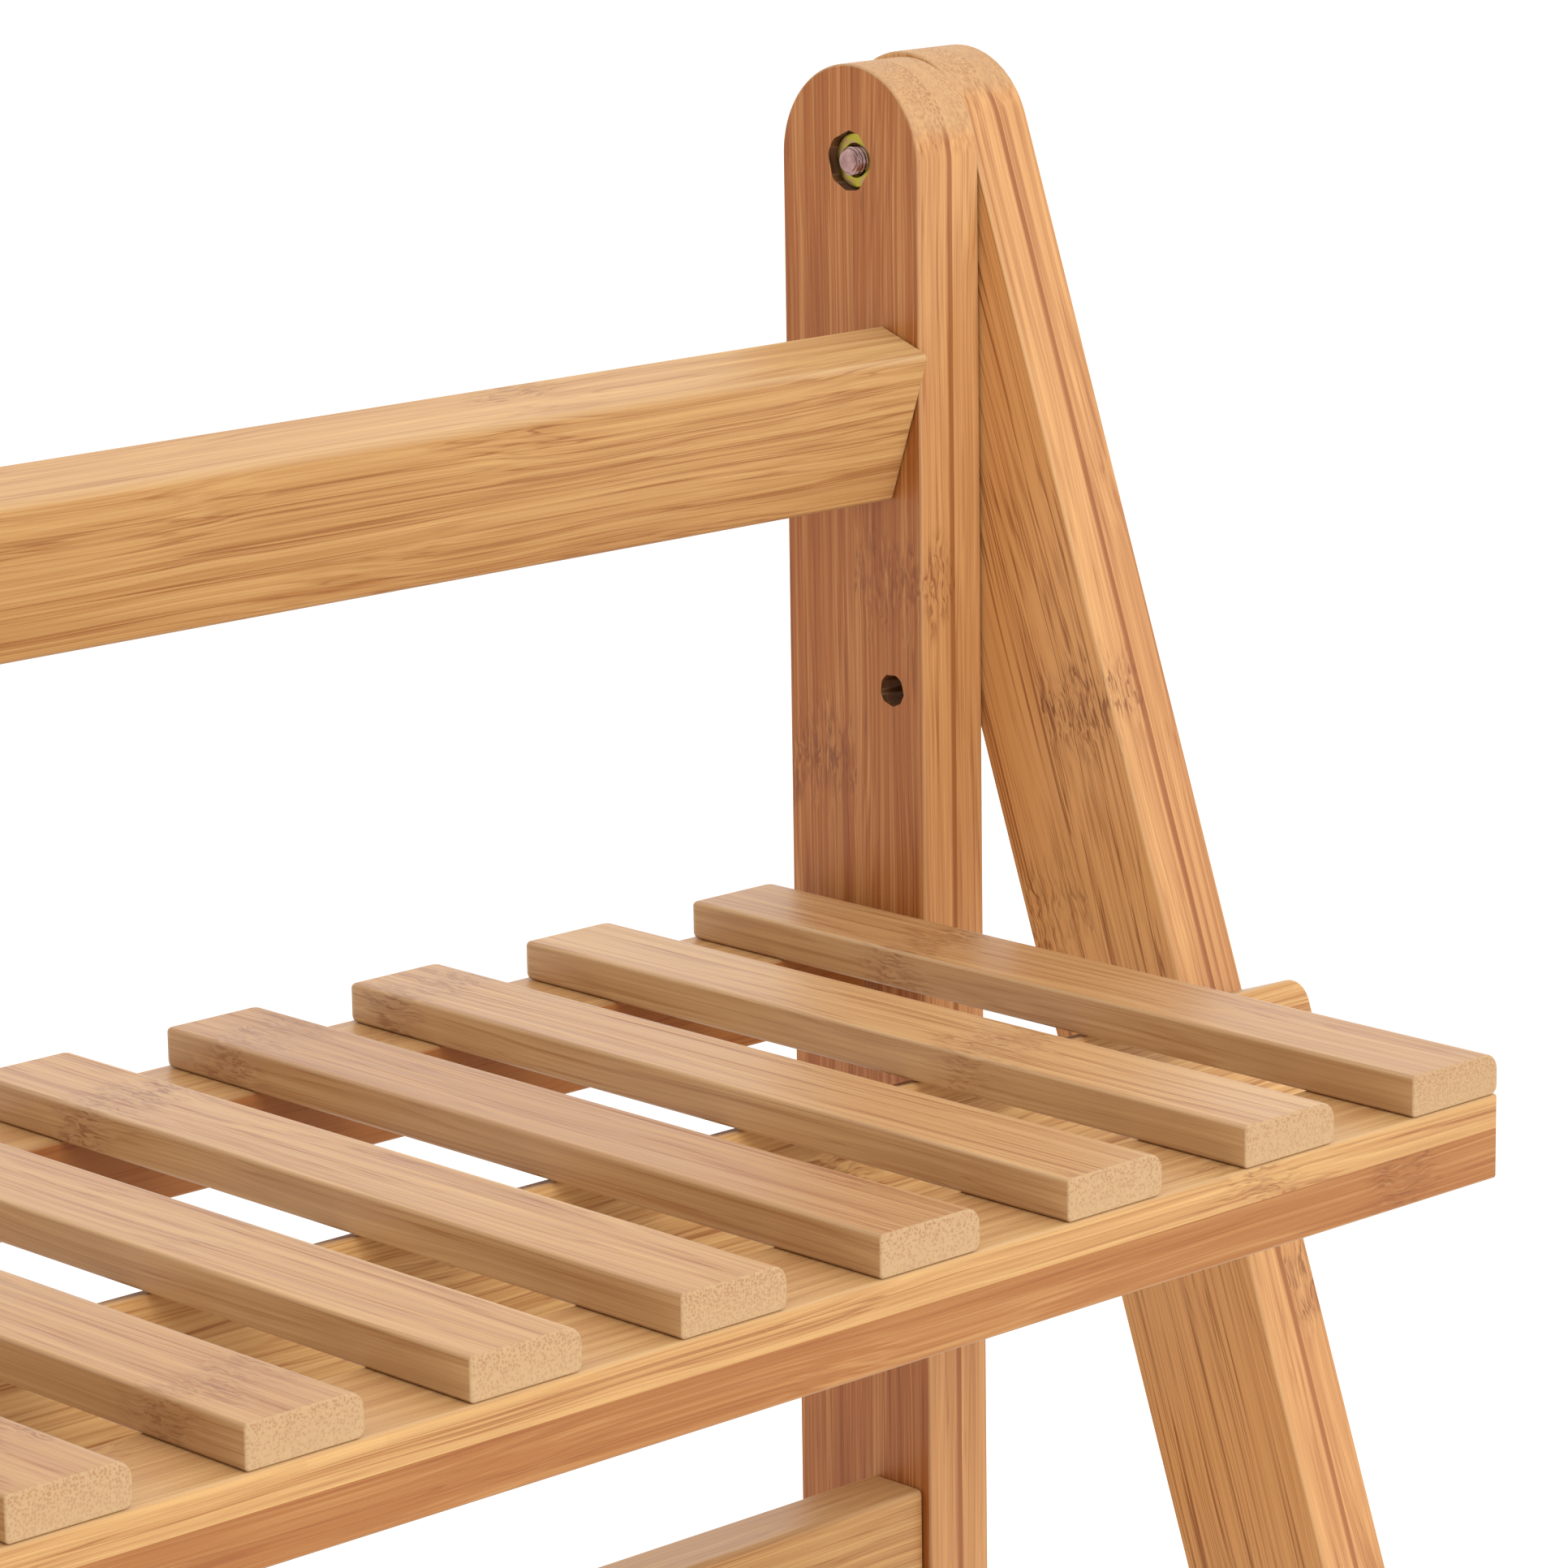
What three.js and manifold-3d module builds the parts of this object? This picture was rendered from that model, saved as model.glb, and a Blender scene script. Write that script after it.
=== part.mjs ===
// Folding two-tier slatted bench in laminated bamboo.
//
// Two upright rear posts carry two slatted shelves on pins. A pair of front legs hangs on one
// bolt at the top of each post and is held apart by two cross bars, which the shelves rest on.
// To fold the bench, each shelf swings up until its slats meet the guard rail above it, and the
// legs close against the posts. Each guard rail turns on its end screws to lie flat on the slats.
//
// Frame: millimetres, +Z up, X along the length, front towards -Y. The origin is on the floor
// in the middle of the bench. Depths are given as a distance forward of the posts' rear faces.

import * as THREE from 'three';
import { mergeVertices } from 'three/addons/utils/BufferGeometryUtils.js';
import Module from 'manifold-3d';

// ---- Driving dimensions ------------------------------------------------------------------

const POST_WIDTH = 40; // front to back
const LEG_WIDTH = 39.2;
const STOCK_THICK = 17.6; // posts, legs and cross bars
const ARRIS = 0.6; // eased edge of posts, legs and cross bars

const LOWER_SHELF_TOP = 115; // above the floor
const TIER_RISE = 249.5; // lower shelf top to upper shelf top
const PIVOT_ABOVE_SHELF = 154.8; // leg bolt above the upper shelf top
const LEG_SPREAD = THREE.MathUtils.degToRad(19.1); // open angle between leg and post
const LEG_SET_BACK = 1.7; // the leg's centre line behind the bolt
const LEG_TOP_RISE = 2; // the centre of the leg's round top above the bolt

const SLATS_PER_SHELF = 13;
const SLAT_PITCH = 46.6;
const SLAT_WIDTH = 24.4;
const SLAT_THICK = 8.1;
const SLAT_EASE = 0.8; // small round on the slat's left edges
const SLAT_ROUND = 3.2; // large round on the slat's right edges
const SHELF_RAIL_WIDTH = 28.2; // front to back
const SHELF_RAIL_HEIGHT = 16.7;
const UPPER_SHELF_DEPTH = 201;
const SHELF_END_GAP = 6; // shelf end to post

const GUARD_RAIL_THICK = 15;
const GUARD_RAIL_HEIGHT = 33.7;
const GUARD_RAIL_EASE = 1.3;
const GUARD_RAIL_FORWARD = 30.5; // rail centre forward of the posts' rear faces
const GUARD_RAIL_ABOVE_SHELF = 103.4; // rail centre above its shelf top
const UPPER_RAIL_TILT = THREE.MathUtils.degToRad(19.5); // its top leans forward

const CROSS_BAR_WIDTH = 33; // along the leg
const CROSS_BAR_END_ROUND = 5;

const LEG_GAP = 0.5; // post to leg, filled by the pivot washer
const FIT_GAP = 0.3; // between pieces that touch
const GLUE_GAP = 0.1; // between slats and shelf rails

const BOLT_DIAMETER = 6;
const BOLT_HEAD_DIAMETER = 15;
const BOLT_HEAD_THICK = 2.2;
const BOLT_SOCKET_ACROSS = 4;
const BOLT_SOCKET_DEPTH = 1.6;
const BOLT_CHAMFER = 0.7;
const BOLT_END_PROUD = 0.6; // thread end past the post's inner face
const NUT_DIAMETER = 12;
const NUT_LENGTH = 11;
const NUT_RECESS = 1.8; // nut face below the post's inner face
const WASHER_DIAMETER = 18;
const WASHER_THICK = 0.3;

const SHELF_PIN_DIAMETER = 6;
const SHELF_PIN_HEAD_DIAMETER = 11;
const SHELF_PIN_HEAD_DEPTH = 3;
const SHELF_PIN_IN_RAIL = 25;
const SHELF_PIN_FORWARD = 14;
const SPACER_DIAMETER = 12;

const SCREW_DIAMETER = 4.5;
const SCREW_HEAD_DIAMETER = 9;
const SCREW_HEAD_DEPTH = 3.5;
const GUARD_SCREW_LENGTH = 45;
const BAR_SCREW_LENGTH = 42;

const PEG_HOLE_DIAMETER = 7;
const PEG_HOLE_DEPTH = 12;
const PEG_HOLE_FORWARD = 31;
const PEG_HOLE_ABOVE_SHELF = 44.8;

const ARC_STEPS = 14; // round tops
const EDGE_STEPS = 2; // eased edges
const BORE_STEPS = 16;
const BORE_CLEARANCE = 0.3; // radial, around pins, bolts and screws
const OVERRUN = 1; // how far a cutter runs past the faces it opens
const WELD = 1e-4; // vertices closer than this are one

// ---- Sizes that follow -------------------------------------------------------------------

const SHELF_LENGTH = (SLATS_PER_SHELF - 1) * SLAT_PITCH + SLAT_WIDTH;
const POST_INNER_X = SHELF_LENGTH / 2 + SHELF_END_GAP;
const POST_OUTER_X = POST_INNER_X + STOCK_THICK;
const LEG_INNER_X = POST_OUTER_X + LEG_GAP;
const LEG_OUTER_X = LEG_INNER_X + STOCK_THICK;

const UPPER_SHELF_TOP = LOWER_SHELF_TOP + TIER_RISE;
const PIVOT_Z = UPPER_SHELF_TOP + PIVOT_ABOVE_SHELF;
const RAIL_CENTRE_DROP = SLAT_THICK + GLUE_GAP + SHELF_RAIL_HEIGHT / 2; // below the shelf top

const SIN_SPREAD = Math.sin(LEG_SPREAD);
const COS_SPREAD = Math.cos(LEG_SPREAD);
const LEG_FRONT = LEG_WIDTH / 2 - LEG_SET_BACK; // from the bolt to the leg's front face
const LEG_REAR = LEG_WIDTH / 2 + LEG_SET_BACK;
const BAR_FRONT = LEG_FRONT + FIT_GAP + STOCK_THICK; // from the bolt to the bars' front faces

// The lower shelf's front rail drops just in front of the lower cross bar and keeps the legs
// from spreading: its lower rear edge meets the bar's sloping face.
const LOWER_RAIL_REAR = barFaceForward(LOWER_SHELF_TOP - SLAT_THICK - SHELF_RAIL_HEIGHT) + FIT_GAP;
const LOWER_SHELF_DEPTH = Math.ceil(LOWER_RAIL_REAR + SHELF_RAIL_WIDTH);
const REAR_Y = LOWER_SHELF_DEPTH / 2; // the posts' rear faces
const PIVOT_Y = REAR_Y - POST_WIDTH / 2;

// Distance of the cross bars' front faces forward of the posts' rear faces, at a height.
function barFaceForward(height) {
  return POST_WIDTH / 2 + (PIVOT_Z - height) * (SIN_SPREAD / COS_SPREAD) + BAR_FRONT / COS_SPREAD;
}

// Distance down the leg from the bolt to a bar whose top front edge is at a height.
function barTopAlongLeg(height) {
  return (PIVOT_Z - height + BAR_FRONT * SIN_SPREAD) / COS_SPREAD;
}

// ---- Materials ---------------------------------------------------------------------------

function finish(color, roughness, metalness) {
  return () => new THREE.MeshStandardMaterial({ color, roughness, metalness });
}

const bambooFrame = finish(0xc48a4c, 0.42, 0);
const bambooSlat = finish(0xd6ae7c, 0.45, 0);
const bambooRail = finish(0xcd9656, 0.42, 0);
const zincSteel = finish(0xc9c7c4, 0.28, 1);
const yellowZinc = finish(0xb9b24a, 0.35, 1);
const nylon = finish(0xe9e6dc, 0.5, 0);

// ---- Solids ------------------------------------------------------------------------------

const wasm = await Module();
wasm.setup();

function toSolid(geometry) {
  const bare = geometry.clone();
  bare.deleteAttribute('normal');
  bare.deleteAttribute('uv');
  const merged = mergeVertices(bare, WELD);
  return new wasm.Manifold(
    new wasm.Mesh({
      numProp: 3,
      vertProperties: new Float32Array(merged.attributes.position.array),
      triVerts: new Uint32Array(merged.index.array),
    }),
  );
}

// Takes a list of cutters out of a blank.
function cut(blank, cutters) {
  let solid = toSolid(blank);
  for (const cutter of cutters) {
    solid = solid.subtract(toSolid(cutter));
  }
  const mesh = solid.getMesh();
  const geometry = new THREE.BufferGeometry();
  geometry.setAttribute('position', new THREE.BufferAttribute(mesh.vertProperties, 3));
  geometry.setIndex(new THREE.BufferAttribute(mesh.triVerts, 1));
  geometry.computeVertexNormals();
  return geometry;
}

// Turns a drawing in (Y, Z), extruded along local Z, to run along X.
const ALONG_X = new THREE.Matrix4().makeBasis(
  new THREE.Vector3(0, 1, 0),
  new THREE.Vector3(0, 0, 1),
  new THREE.Vector3(1, 0, 0),
);

// Turns a drawing in (X, Z), extruded along local Z, to run along -Y.
const ALONG_MINUS_Y = new THREE.Matrix4().makeBasis(
  new THREE.Vector3(1, 0, 0),
  new THREE.Vector3(0, 0, 1),
  new THREE.Vector3(0, -1, 0),
);

// A rectangle about the origin with one radius at its left corners and one at its right.
function roundedRectangle(width, height, leftRadius, rightRadius) {
  const x = width / 2;
  const y = height / 2;
  const quarter = Math.PI / 2;
  const shape = new THREE.Shape();
  shape.moveTo(-x + leftRadius, -y);
  shape.lineTo(x - rightRadius, -y);
  shape.absarc(x - rightRadius, -y + rightRadius, rightRadius, -quarter, 0, false);
  shape.absarc(x - rightRadius, y - rightRadius, rightRadius, 0, quarter, false);
  shape.absarc(-x + leftRadius, y - leftRadius, leftRadius, quarter, 2 * quarter, false);
  shape.absarc(-x + leftRadius, -y + leftRadius, leftRadius, 2 * quarter, 3 * quarter, false);
  return shape;
}

// A straight extrusion centred on its own length.
function centredExtrusion(shape, length, turn) {
  const geometry = new THREE.ExtrudeGeometry(shape, {
    depth: length,
    bevelEnabled: false,
    curveSegments: EDGE_STEPS,
  });
  geometry.translate(0, 0, -length / 2);
  geometry.applyMatrix4(turn);
  return geometry;
}

// A flat board cut to an outline, with eased edges on both faces, centred on its thickness.
function easedBoard(shape, thickness, ease, turn, curveSegments) {
  const geometry = new THREE.ExtrudeGeometry(shape, {
    depth: thickness - 2 * ease,
    bevelEnabled: true,
    bevelThickness: ease,
    bevelSize: ease,
    bevelOffset: -ease,
    bevelSegments: 2,
    curveSegments,
  });
  geometry.translate(0, 0, -thickness / 2 + ease);
  geometry.applyMatrix4(turn);
  return geometry;
}

// A turned solid along +X. The profile is a list of [distance along X, radius].
function turned(profile, steps = BORE_STEPS) {
  const points = profile.map(([along, radius]) => new THREE.Vector2(radius, along));
  const geometry = new THREE.LatheGeometry(points, steps);
  geometry.rotateZ(-Math.PI / 2);
  return geometry;
}

function rod(start, end, diameter, steps = BORE_STEPS) {
  const radius = diameter / 2;
  return turned(
    [
      [start, 0],
      [start, radius],
      [end, radius],
      [end, 0],
    ],
    steps,
  );
}

function ring(start, end, outerDiameter, innerDiameter, steps = BORE_STEPS) {
  const outer = outerDiameter / 2;
  const inner = innerDiameter / 2;
  return turned(
    [
      [start, inner],
      [start, outer],
      [end, outer],
      [end, inner],
      [start, inner],
    ],
    steps,
  );
}

// A countersunk screw or pin along -X: flat head at zero, grown by a clearance for its bore.
function countersunk(length, shankDiameter, headDiameter, headDepth, grow = 0) {
  const shank = shankDiameter / 2 + grow;
  const head = headDiameter / 2 + grow;
  const top = grow > 0 ? OVERRUN : 0;
  return turned([
    [-length - grow, 0],
    [-length - grow, shank],
    [-headDepth - grow, shank],
    [-grow, head],
    [top, head],
    [top, 0],
  ]);
}

// ---- Assembly ----------------------------------------------------------------------------

const bench = new THREE.Group();

function addMesh(parent, name, geometry, material, x = 0, y = 0, z = 0) {
  const mesh = new THREE.Mesh(geometry, material());
  mesh.name = name;
  mesh.position.set(x, y, z);
  parent.add(mesh);
  return mesh;
}

const SIDES = [
  ['left', -1],
  ['right', 1],
];

// Turned pieces are drawn for the right-hand end; half a turn about Z serves the left.
function addTurned(parent, name, geometry, material, side, x, y = 0, z = 0) {
  const mesh = addMesh(parent, name, geometry, material, side * x, y, z);
  mesh.rotation.z = side > 0 ? 0 : Math.PI;
  return mesh;
}

// Copies a right-hand cutter to its place on one side.
function placeCutter(geometry, side, x, y, z) {
  const cutter = geometry.clone();
  if (side < 0) {
    cutter.rotateZ(Math.PI);
  }
  cutter.translate(side * x, y, z);
  return cutter;
}

const TIERS = [
  { name: 'upper', top: UPPER_SHELF_TOP, depth: UPPER_SHELF_DEPTH, tilt: UPPER_RAIL_TILT },
  { name: 'lower', top: LOWER_SHELF_TOP, depth: LOWER_SHELF_DEPTH, tilt: 0 },
];

const guardScrew = (grow) =>
  countersunk(GUARD_SCREW_LENGTH, SCREW_DIAMETER, SCREW_HEAD_DIAMETER, SCREW_HEAD_DEPTH, grow);
const SHELF_PIN_LENGTH = STOCK_THICK + SHELF_END_GAP + SHELF_PIN_IN_RAIL;
const shelfPin = (grow) =>
  countersunk(
    SHELF_PIN_LENGTH,
    SHELF_PIN_DIAMETER,
    SHELF_PIN_HEAD_DIAMETER,
    SHELF_PIN_HEAD_DEPTH,
    grow,
  );

// An upright between two faces, with a half-round top and its foot at two heights.
function uprightOutline(front, rear, footFront, footRear, topCentre) {
  const shape = new THREE.Shape();
  shape.moveTo(-front, footFront);
  shape.lineTo(rear, footRear);
  shape.lineTo(rear, topCentre);
  shape.absarc((rear - front) / 2, topCentre, (front + rear) / 2, 0, Math.PI, false);
  shape.closePath();
  return shape;
}

// Rear post: its mesh origin is on the pivot axis, in the middle of its thickness.
function rearPost(side) {
  const inner = -STOCK_THICK / 2;
  const outer = STOCK_THICK / 2;
  const boltBore = rod(inner - OVERRUN, outer + OVERRUN, BOLT_DIAMETER + 2 * BORE_CLEARANCE);
  const nutBore = rod(
    inner - OVERRUN,
    inner + NUT_RECESS + NUT_LENGTH + BORE_CLEARANCE,
    NUT_DIAMETER + 2 * BORE_CLEARANCE,
  );
  const pegHole = rod(inner - OVERRUN, inner + PEG_HOLE_DEPTH, PEG_HOLE_DIAMETER);
  const cutters = [placeCutter(boltBore, side, 0, 0, 0), placeCutter(nutBore, side, 0, 0, 0)];
  const half = POST_WIDTH / 2;
  for (const tier of TIERS) {
    const drop = tier.top - PIVOT_Z;
    const railZ = drop + GUARD_RAIL_ABOVE_SHELF;
    const pegZ = drop + PEG_HOLE_ABOVE_SHELF;
    const pinZ = drop - RAIL_CENTRE_DROP;
    cutters.push(
      placeCutter(guardScrew(BORE_CLEARANCE), side, outer, half - GUARD_RAIL_FORWARD, railZ),
      placeCutter(pegHole, side, 0, half - PEG_HOLE_FORWARD, pegZ),
      placeCutter(shelfPin(BORE_CLEARANCE), side, outer, half - SHELF_PIN_FORWARD, pinZ),
    );
  }
  const outline = uprightOutline(half, half, -PIVOT_Z, -PIVOT_Z, 0);
  return cut(easedBoard(outline, STOCK_THICK, ARRIS, ALONG_X, ARC_STEPS), cutters);
}

// Pivot bolt with a hexagon socket. Its origin is on the leg's outer face.
function pivotBolt() {
  const radius = BOLT_DIAMETER / 2;
  const headRadius = BOLT_HEAD_DIAMETER / 2;
  const length = LEG_OUTER_X - POST_INNER_X + BOLT_END_PROUD;
  const head = BOLT_HEAD_THICK + FIT_GAP;
  const blank = turned([
    [-length, 0],
    [-length, radius - BOLT_CHAMFER],
    [-length + BOLT_CHAMFER, radius],
    [FIT_GAP, radius],
    [FIT_GAP, headRadius],
    [head - BOLT_CHAMFER, headRadius],
    [head, headRadius - BOLT_CHAMFER],
    [head, 0],
  ]);
  const socketDiameter = BOLT_SOCKET_ACROSS / Math.cos(Math.PI / 6);
  return cut(blank, [rod(head - BOLT_SOCKET_DEPTH, head + OVERRUN, socketDiameter, 6)]);
}

const rearFrame = new THREE.Group();
bench.add(rearFrame);
for (const [sideName, side] of SIDES) {
  const postX = side * (POST_INNER_X + STOCK_THICK / 2);
  addMesh(rearFrame, `post_${sideName}`, rearPost(side), bambooFrame, postX, PIVOT_Y, PIVOT_Z);
  const boltName = `pivot_bolt_${sideName}`;
  addTurned(rearFrame, boltName, pivotBolt(), zincSteel, side, LEG_OUTER_X, PIVOT_Y, PIVOT_Z);
  const washer = ring(0, WASHER_THICK, WASHER_DIAMETER, BOLT_DIAMETER + 2 * BORE_CLEARANCE);
  const washerX = POST_OUTER_X + (LEG_GAP - WASHER_THICK) / 2;
  const washerName = `pivot_washer_${sideName}`;
  addTurned(rearFrame, washerName, washer, nylon, side, washerX, PIVOT_Y, PIVOT_Z);
  const nut = ring(0, NUT_LENGTH, NUT_DIAMETER, BOLT_DIAMETER + BORE_CLEARANCE);
  const nutX = POST_INNER_X + NUT_RECESS;
  addTurned(rearFrame, `pivot_nut_${sideName}`, nut, yellowZinc, side, nutX, PIVOT_Y, PIVOT_Z);
}

// Front frame: its group turns about the leg bolts, so the legs are drawn hanging straight.
const frontFrame = new THREE.Group();
frontFrame.position.set(0, PIVOT_Y, PIVOT_Z);
frontFrame.rotation.x = -LEG_SPREAD;
bench.add(frontFrame);

const LEG_MIDDLE_X = LEG_INNER_X + STOCK_THICK / 2;
const barScrew = (grow) => {
  const screw = countersunk(
    BAR_SCREW_LENGTH,
    SCREW_DIAMETER,
    SCREW_HEAD_DIAMETER,
    SCREW_HEAD_DEPTH,
    grow,
  );
  screw.rotateZ(-Math.PI / 2);
  return screw;
};
const barCentreZ = (tier) =>
  -barTopAlongLeg(tier.top - SLAT_THICK - FIT_GAP) - CROSS_BAR_WIDTH / 2;

// The leg's foot is cut level with the floor when the legs stand open.
function frontLeg(side) {
  const footFront = -(PIVOT_Z + LEG_FRONT * SIN_SPREAD) / COS_SPREAD;
  const footRear = -(PIVOT_Z - LEG_REAR * SIN_SPREAD) / COS_SPREAD;
  const boltBore = rod(-STOCK_THICK, STOCK_THICK, BOLT_DIAMETER + 2 * BORE_CLEARANCE);
  const cutters = [placeCutter(boltBore, side, 0, 0, 0)];
  for (const tier of TIERS) {
    const bore = barScrew(BORE_CLEARANCE);
    bore.translate(0, -BAR_FRONT, barCentreZ(tier));
    cutters.push(bore);
  }
  const outline = uprightOutline(LEG_FRONT, LEG_REAR, footFront, footRear, LEG_TOP_RISE);
  return cut(easedBoard(outline, STOCK_THICK, ARRIS, ALONG_X, ARC_STEPS), cutters);
}

function crossBar() {
  const round = CROSS_BAR_END_ROUND;
  const outline = roundedRectangle(2 * LEG_OUTER_X, CROSS_BAR_WIDTH, round, round);
  const blank = easedBoard(outline, STOCK_THICK, ARRIS, ALONG_MINUS_Y, EDGE_STEPS);
  const cutters = SIDES.map(([, side]) => {
    const bore = barScrew(BORE_CLEARANCE);
    bore.translate(side * LEG_MIDDLE_X, -STOCK_THICK / 2, 0);
    return bore;
  });
  return cut(blank, cutters);
}

for (const [sideName, side] of SIDES) {
  addMesh(frontFrame, `leg_${sideName}`, frontLeg(side), bambooFrame, side * LEG_MIDDLE_X);
}
for (const tier of TIERS) {
  const z = barCentreZ(tier);
  const barY = -BAR_FRONT + STOCK_THICK / 2;
  addMesh(frontFrame, `cross_bar_${tier.name}`, crossBar(), bambooRail, 0, barY, z);
  for (const [sideName, side] of SIDES) {
    const name = `cross_bar_screw_${tier.name}_${sideName}`;
    addMesh(frontFrame, name, barScrew(0), zincSteel, side * LEG_MIDDLE_X, -BAR_FRONT, z);
  }
}

// Shelves: each group's origin is on its hinge pins, in the middle of the bench.
function shelfRail(withPins) {
  const section = roundedRectangle(SHELF_RAIL_WIDTH, SHELF_RAIL_HEIGHT, ARRIS, ARRIS);
  const blank = centredExtrusion(section, SHELF_LENGTH, ALONG_X);
  if (!withPins) {
    return blank;
  }
  const bore = rod(-SHELF_PIN_IN_RAIL - OVERRUN, OVERRUN, SHELF_PIN_DIAMETER + 2 * BORE_CLEARANCE);
  return cut(
    blank,
    SIDES.map(([, side]) => placeCutter(bore, side, SHELF_LENGTH / 2, 0, 0)),
  );
}

for (const tier of TIERS) {
  const shelf = new THREE.Group();
  shelf.position.set(0, REAR_Y - SHELF_PIN_FORWARD, tier.top - RAIL_CENTRE_DROP);
  bench.add(shelf);
  const frontRailY = SHELF_PIN_FORWARD - tier.depth + SHELF_RAIL_WIDTH / 2;
  addMesh(shelf, `${tier.name}_shelf_rear_rail`, shelfRail(true), bambooRail);
  addMesh(shelf, `${tier.name}_shelf_front_rail`, shelfRail(false), bambooRail, 0, frontRailY);

  const slatSection = roundedRectangle(SLAT_WIDTH, SLAT_THICK, SLAT_EASE, SLAT_ROUND);
  const slatY = SHELF_PIN_FORWARD - tier.depth / 2;
  const slatZ = RAIL_CENTRE_DROP - SLAT_THICK / 2;
  for (let i = 0; i < SLATS_PER_SHELF; i += 1) {
    const name = `${tier.name}_slat_${String(i + 1).padStart(2, '0')}`;
    const slatX = (i - (SLATS_PER_SHELF - 1) / 2) * SLAT_PITCH;
    const slat = centredExtrusion(slatSection, tier.depth, ALONG_MINUS_Y);
    addMesh(shelf, name, slat, bambooSlat, slatX, slatY, slatZ);
  }

  for (const [sideName, side] of SIDES) {
    const pinName = `${tier.name}_shelf_pin_${sideName}`;
    addTurned(shelf, pinName, shelfPin(0), zincSteel, side, POST_OUTER_X);
    const spacer = ring(
      FIT_GAP,
      SHELF_END_GAP - FIT_GAP,
      SPACER_DIAMETER,
      SHELF_PIN_DIAMETER + 2 * BORE_CLEARANCE,
    );
    const spacerName = `${tier.name}_shelf_spacer_${sideName}`;
    addTurned(shelf, spacerName, spacer, nylon, side, SHELF_LENGTH / 2);
  }
}

// Guard rails: each hangs between the posts on one screw at each end, and can be turned.
const GUARD_RAIL_LENGTH = 2 * (POST_INNER_X - FIT_GAP);

function guardRail() {
  const ease = GUARD_RAIL_EASE;
  const section = roundedRectangle(GUARD_RAIL_THICK, GUARD_RAIL_HEIGHT, ease, ease);
  const blank = centredExtrusion(section, GUARD_RAIL_LENGTH, ALONG_X);
  const bore = guardScrew(BORE_CLEARANCE);
  return cut(
    blank,
    SIDES.map(([, side]) => placeCutter(bore, side, POST_OUTER_X, 0, 0)),
  );
}

for (const tier of TIERS) {
  const rail = new THREE.Group();
  rail.position.set(0, REAR_Y - GUARD_RAIL_FORWARD, tier.top + GUARD_RAIL_ABOVE_SHELF);
  rail.rotation.x = tier.tilt;
  bench.add(rail);
  addMesh(rail, `guard_rail_${tier.name}`, guardRail(), bambooRail);
  for (const [sideName, side] of SIDES) {
    const name = `guard_rail_screw_${tier.name}_${sideName}`;
    addTurned(rail, name, guardScrew(0), zincSteel, side, POST_OUTER_X);
  }
}

export default bench;
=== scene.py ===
"""Folding two-tier slatted bench in laminated bamboo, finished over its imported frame.

Every wooden piece is remade from its frame node as a finely rounded board with a solid bamboo
grain. The bolts, nuts and screws get their threads and recesses. Lengths in the code are metres,
and the settings on the panel are in millimetres where their names say so.
"""

import math

import bpy
import numpy as np
from bpy.props import FloatProperty, FloatVectorProperty, PointerProperty
from mathutils import Matrix, Vector
from mathutils.geometry import delaunay_2d_cdt


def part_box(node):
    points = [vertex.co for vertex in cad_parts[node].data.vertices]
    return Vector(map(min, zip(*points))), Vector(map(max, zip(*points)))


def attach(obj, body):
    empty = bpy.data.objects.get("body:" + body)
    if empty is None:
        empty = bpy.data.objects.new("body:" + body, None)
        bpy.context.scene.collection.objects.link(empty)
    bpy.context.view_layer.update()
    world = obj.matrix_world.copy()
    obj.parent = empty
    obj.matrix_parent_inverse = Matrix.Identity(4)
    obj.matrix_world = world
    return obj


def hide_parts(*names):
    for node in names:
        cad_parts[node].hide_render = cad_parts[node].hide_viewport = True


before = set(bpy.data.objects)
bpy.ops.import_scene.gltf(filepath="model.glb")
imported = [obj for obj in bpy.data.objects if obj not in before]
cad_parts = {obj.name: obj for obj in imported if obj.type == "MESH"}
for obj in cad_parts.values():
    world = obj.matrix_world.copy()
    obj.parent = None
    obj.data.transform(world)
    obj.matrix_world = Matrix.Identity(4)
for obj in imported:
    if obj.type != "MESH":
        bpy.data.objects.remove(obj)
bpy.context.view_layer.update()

bl_info = {
    "name": "Bamboo Folding Bench",
    "version": (1, 0, 0),
    "blender": (4, 5, 0),
    "location": "3D View > Sidebar > Bench",
    "description": "Builds the finish pieces of a folding two-tier bamboo bench over its frame",
    "category": "Object",
}

MM = 0.001
SIDES = (("left", -1), ("right", 1))
TIERS = ("upper", "lower")
SLATS = 13

# Where a growth ring crosses these pieces, in millimetres along the piece from its low or rear end.
GROWTH_RINGS = {
    "upper_slat_13": 62,
    "upper_slat_12": 128,
    "upper_slat_11": 14,
    "upper_slat_10": 20,
    "upper_slat_09": 36,
    "upper_slat_08": 320,
    "post_right": 432,
    "leg_right": 105,
    "upper_shelf_front_rail": 227,
    "guard_rail_upper": 325,
}

# How much paler, or darker below 0, these pieces' broad faces are than their neighbours': the timber's own
# tone, except where painted light or painted shade is marked below.
TIMBER_TONES_AND_PAINTED_LIGHT = {
    "post_right": -0.42,
    # Partly paler timber and partly painted light, which lifts the shade beside the post on the leg's inner
    # face.
    "leg_right": 0.32,
    # Painted shade: the rear shelf rail is darkened to stand for the shadow that falls on it under the
    # slats.
    "upper_shelf_rear_rail": -0.8,
    "upper_slat_12": 0.15,
    "upper_slat_10": -0.08,
}
LOWEST_STRIP_TONE = -0.5  # the lowest strip of a shelf rail, which is a darker one
UNCUT = 1e6  # a strip length no piece reaches
# How far along the next strip's growth rings stand, across and through, as shares of their pitch.
RING_LAG = (0, 0.88, 0.62)
RAIL_STRIP = 24  # the strip width in the rails and bars, in millimetres

# For each kind of bamboo stock: how far its strips are shifted across and through, in millimetres,
# how strongly the dark skin side shows, and how far its sawn ends are paled.
LAY_UPS = {
    "upright": ((0, 2.2), 0.75, 0.5),
    "rail": ((14, 3.4), 0.15, 0.6),
    "slat": ((0, 3.5), 0, 0.8),
}

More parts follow.
